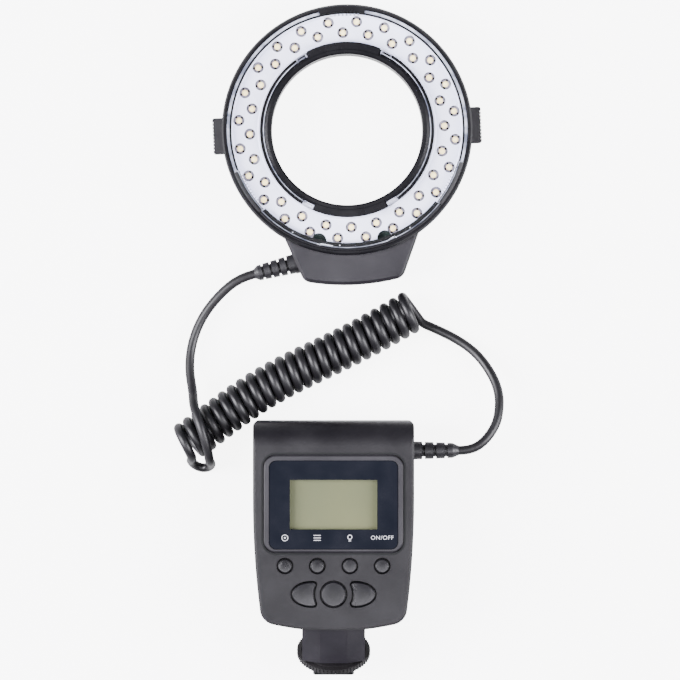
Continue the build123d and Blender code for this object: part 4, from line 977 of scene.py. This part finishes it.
# A thin near-black strip on the panel is painted shade, for the shade in the gap round the frame.
add_band(points, faces, frame_line(SHADE_STRIP_INSIDE), frame_line(SHADE_STRIP_OUTSIDE), SHADE_STRIP_LOW, SHADE_STRIP_HIGH)
add_piece("frame_gap_painted_shade", points, faces, "flash", painted_shade_black)

# %% Lettering for the power key
LETTER_SIZE, LETTER_SPACING, LETTER_HALF_DEPTH = 2.6, 1.12, 0.012
text = bpy.data.curves.new("power_letters", "FONT")
text.body = "ON/OFF"
text.size = LETTER_SIZE * MM
text.space_character = LETTER_SPACING
text.align_x = "CENTER"
text.align_y = "CENTER"
text.extrude = LETTER_HALF_DEPTH * MM
letters_source = bpy.data.objects.new("power_letters_source", text)
bpy.context.scene.collection.objects.link(letters_source)
bpy.context.view_layer.update()
letters_mesh = bpy.data.meshes.new_from_object(letters_source)
bpy.data.objects.remove(letters_source)
letters_place = panel_point(POWER_X, PRINT_DOWN, PRINT_LOW + LETTER_HALF_DEPTH) * MM
letters_mesh.transform(Matrix.Translation(letters_place))
letters = bpy.data.objects.new("power_letters", letters_mesh)
bpy.context.scene.collection.objects.link(letters)
dress(letters, ink_white)
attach(letters, "flash")
print("power_letters", len(letters_mesh.polygons), "faces")

# %% Faint marks on the round keys
KEY_TOP, MARK_DEPTH, MARK_LIFT = 40.8, 0.02, 0.008
marks = {
    "decrease": [(-14.9, 77.6), (-12.9, 76.4), (-12.9, 78.8)],
    "increase": [(14.9, 77.6), (12.9, 76.4), (12.9, 78.8)],
    "test": [(0.6, 75.4), (-1.3, 77.9), (-0.1, 77.9), (-0.6, 79.8), (1.3, 77.3), (0.1, 77.3)],
}
for body, outline in marks.items():
    points, faces = [], []
    add_prism(points, faces, outline, KEY_TOP - MARK_DEPTH, KEY_TOP + MARK_LIFT, panel_point)
    add_piece(f"{body}_mark", points, faces, body, mark_grey)

# %% [markdown]
# ## Coil springs
#
# Behind each release button, and behind the contact pin of the foot, sits a small coil spring. The CAD has
# them as plain tubes. Here they are real coils of wire.

# %% Wind the springs
WIRE_SIDES, STEPS_PER_TURN = 6, 14
RELEASE_SEAT = (48.35, 6.2, 7.0)
RELEASE_SIZES = {"length": 3.9, "radius": 1.65, "wire": 0.2, "turns": 5, "keep": 0.46}
SYNC_SIZES = {"length": 3.6, "radius": 1.48, "wire": 0.18, "turns": 5, "keep": 0.8}
STEM_TILT, STEM_AXIS_DEPTH, SYNC_SPRING_START = radians(33.0), 69.7, 79.3


def add_spring(name, joint, start, direction, length, radius, wire, turns, keep):
    across_one = direction.orthogonal().normalized()
    across_two = direction.cross(across_one)
    stations = turns * STEPS_PER_TURN
    points, faces = [], []
    for station in range(stations + 1):
        turn = 2 * pi * station / STEPS_PER_TURN
        out = across_one * cos(turn) + across_two * sin(turn)
        along = wire + (length - 2 * wire) * station / stations
        centre = start + direction * along + out * (radius - wire)
        for corner in range(WIRE_SIDES):
            angle = 2 * pi * corner / WIRE_SIDES
            points.append((centre + (out * cos(angle) + direction * sin(angle)) * wire) * MM)
    for here in range(0, stations * WIRE_SIDES, WIRE_SIDES):
        there = here + WIRE_SIDES
        for corner in range(WIRE_SIDES):
            after = (corner + 1) % WIRE_SIDES
            faces.append((here + corner, here + after, there + after, there + corner))
    faces.append(tuple(reversed(range(WIRE_SIDES))))
    faces.append(tuple(there + corner for corner in range(WIRE_SIDES)))
    piece = add_piece(f"{name}_wire", points, faces, "flash", brushed_nickel, smooth=True)
    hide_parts(name)
    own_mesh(piece)


outward = head_point(1, 0, 0) - head_point(0, 0, 0)
seat_x, seat_y, seat_z = RELEASE_SEAT
for side, way in (("right", 1), ("left", -1)):
    seat = head_point(way * seat_x, way * seat_y, seat_z)
    add_spring(f"{side}_release_spring", f"{side}_release_slide", seat, way * outward, **RELEASE_SIZES)

down_stem = Vector((0, -cos(STEM_TILT), -sin(STEM_TILT)))
stem_y = TOP_Y - sin(STEM_TILT) * STEM_AXIS_DEPTH
stem_origin = Vector((CONTROLLER_X, stem_y, cos(STEM_TILT) * STEM_AXIS_DEPTH))
sync_start = stem_origin + down_stem * SYNC_SPRING_START
add_spring("sync_spring", "pin_press", sync_start, down_stem, **SYNC_SIZES)

# %% [markdown]
# ## Floor and light
#
# A catalogue picture like this one has a sheet so bright that it is clipped to white, with no shadow left on
# it. A real sheet that bright would also throw much light on the cord from below, so here most of the extra
# glow is seen by the camera's rays alone. A weak soft box overhead gives flat faces their sheen. The strong
# light comes from both sides, so that white plastic is bright and black plastic stays dark.

# %% Floor
FLOOR_GLOW, FLOOR_GLOW_IN_REFLECTIONS = 6.5, 0.8
FLOOR_REACH, FLOOR_DROP = 6.0, 0.0002
floor_material, tree, shader = start_material("floor_white", Roughness=0.9)
shader.inputs["Base Color"].default_value = (0.36, 0.36, 0.362, 1.0)
shader.inputs["Emission Color"].default_value = (1.0, 1.0, 1.0, 1.0)
seen = tree.nodes.new("ShaderNodeLightPath").outputs["Is Camera Ray"]
glow = spread(tree, seen, 0.0, 1.0, FLOOR_GLOW_IN_REFLECTIONS, FLOOR_GLOW)
tree.links.new(glow, shader.inputs["Emission Strength"])
floor_mesh = bpy.data.meshes.new("floor")
floor_corners = [(x, y, -FLOOR_DROP) for x, y in bar(-FLOOR_REACH, -FLOOR_REACH, FLOOR_REACH, FLOOR_REACH)]
floor_mesh.from_pydata(floor_corners, [], [(0, 1, 2, 3)])
floor = bpy.data.objects.new("floor", floor_mesh)
bpy.context.scene.collection.objects.link(floor)
dress(floor, floor_material)
print("floor", 2 * FLOOR_REACH, "m wide")

# %% World
WORLD_STRENGTH = 0.12
world = bpy.data.worlds.new("studio")
world.use_nodes = True
background = world.node_tree.nodes["Background"]
background.inputs["Color"].default_value = (0.95, 0.96, 1.0, 1.0)
background.inputs["Strength"].default_value = WORLD_STRENGTH
bpy.context.scene.world = world
print("world", WORLD_STRENGTH)

# %% Soft boxes
BOX_COLOUR = (0.955, 0.945, 1.0)


def soft_box(name, place, aim, size, power):
    data = bpy.data.lights.new(name, "AREA")
    data.shape = "RECTANGLE"
    data.size, data.size_y = size
    data.energy = power
    data.color = BOX_COLOUR
    lamp = bpy.data.objects.new(name, data)
    lamp.location = place
    lamp.rotation_euler = (Vector(aim) - Vector(place)).to_track_quat("-Z", "Y").to_euler()
    bpy.context.scene.collection.objects.link(lamp)
    print(name, power, "W")


soft_box("over_box", place=(0.1, -0.74, 1.70), aim=(0, -0.05, 0), size=(1.5, 0.6), power=20.0)
soft_box("left_box", place=(-1.35, 0.0, 1.15), aim=(0, 0, 0), size=(0.9, 1.4), power=165.0)
soft_box("right_box", place=(1.35, -0.1, 1.15), aim=(0, 0, 0), size=(0.9, 1.4), power=115.0)
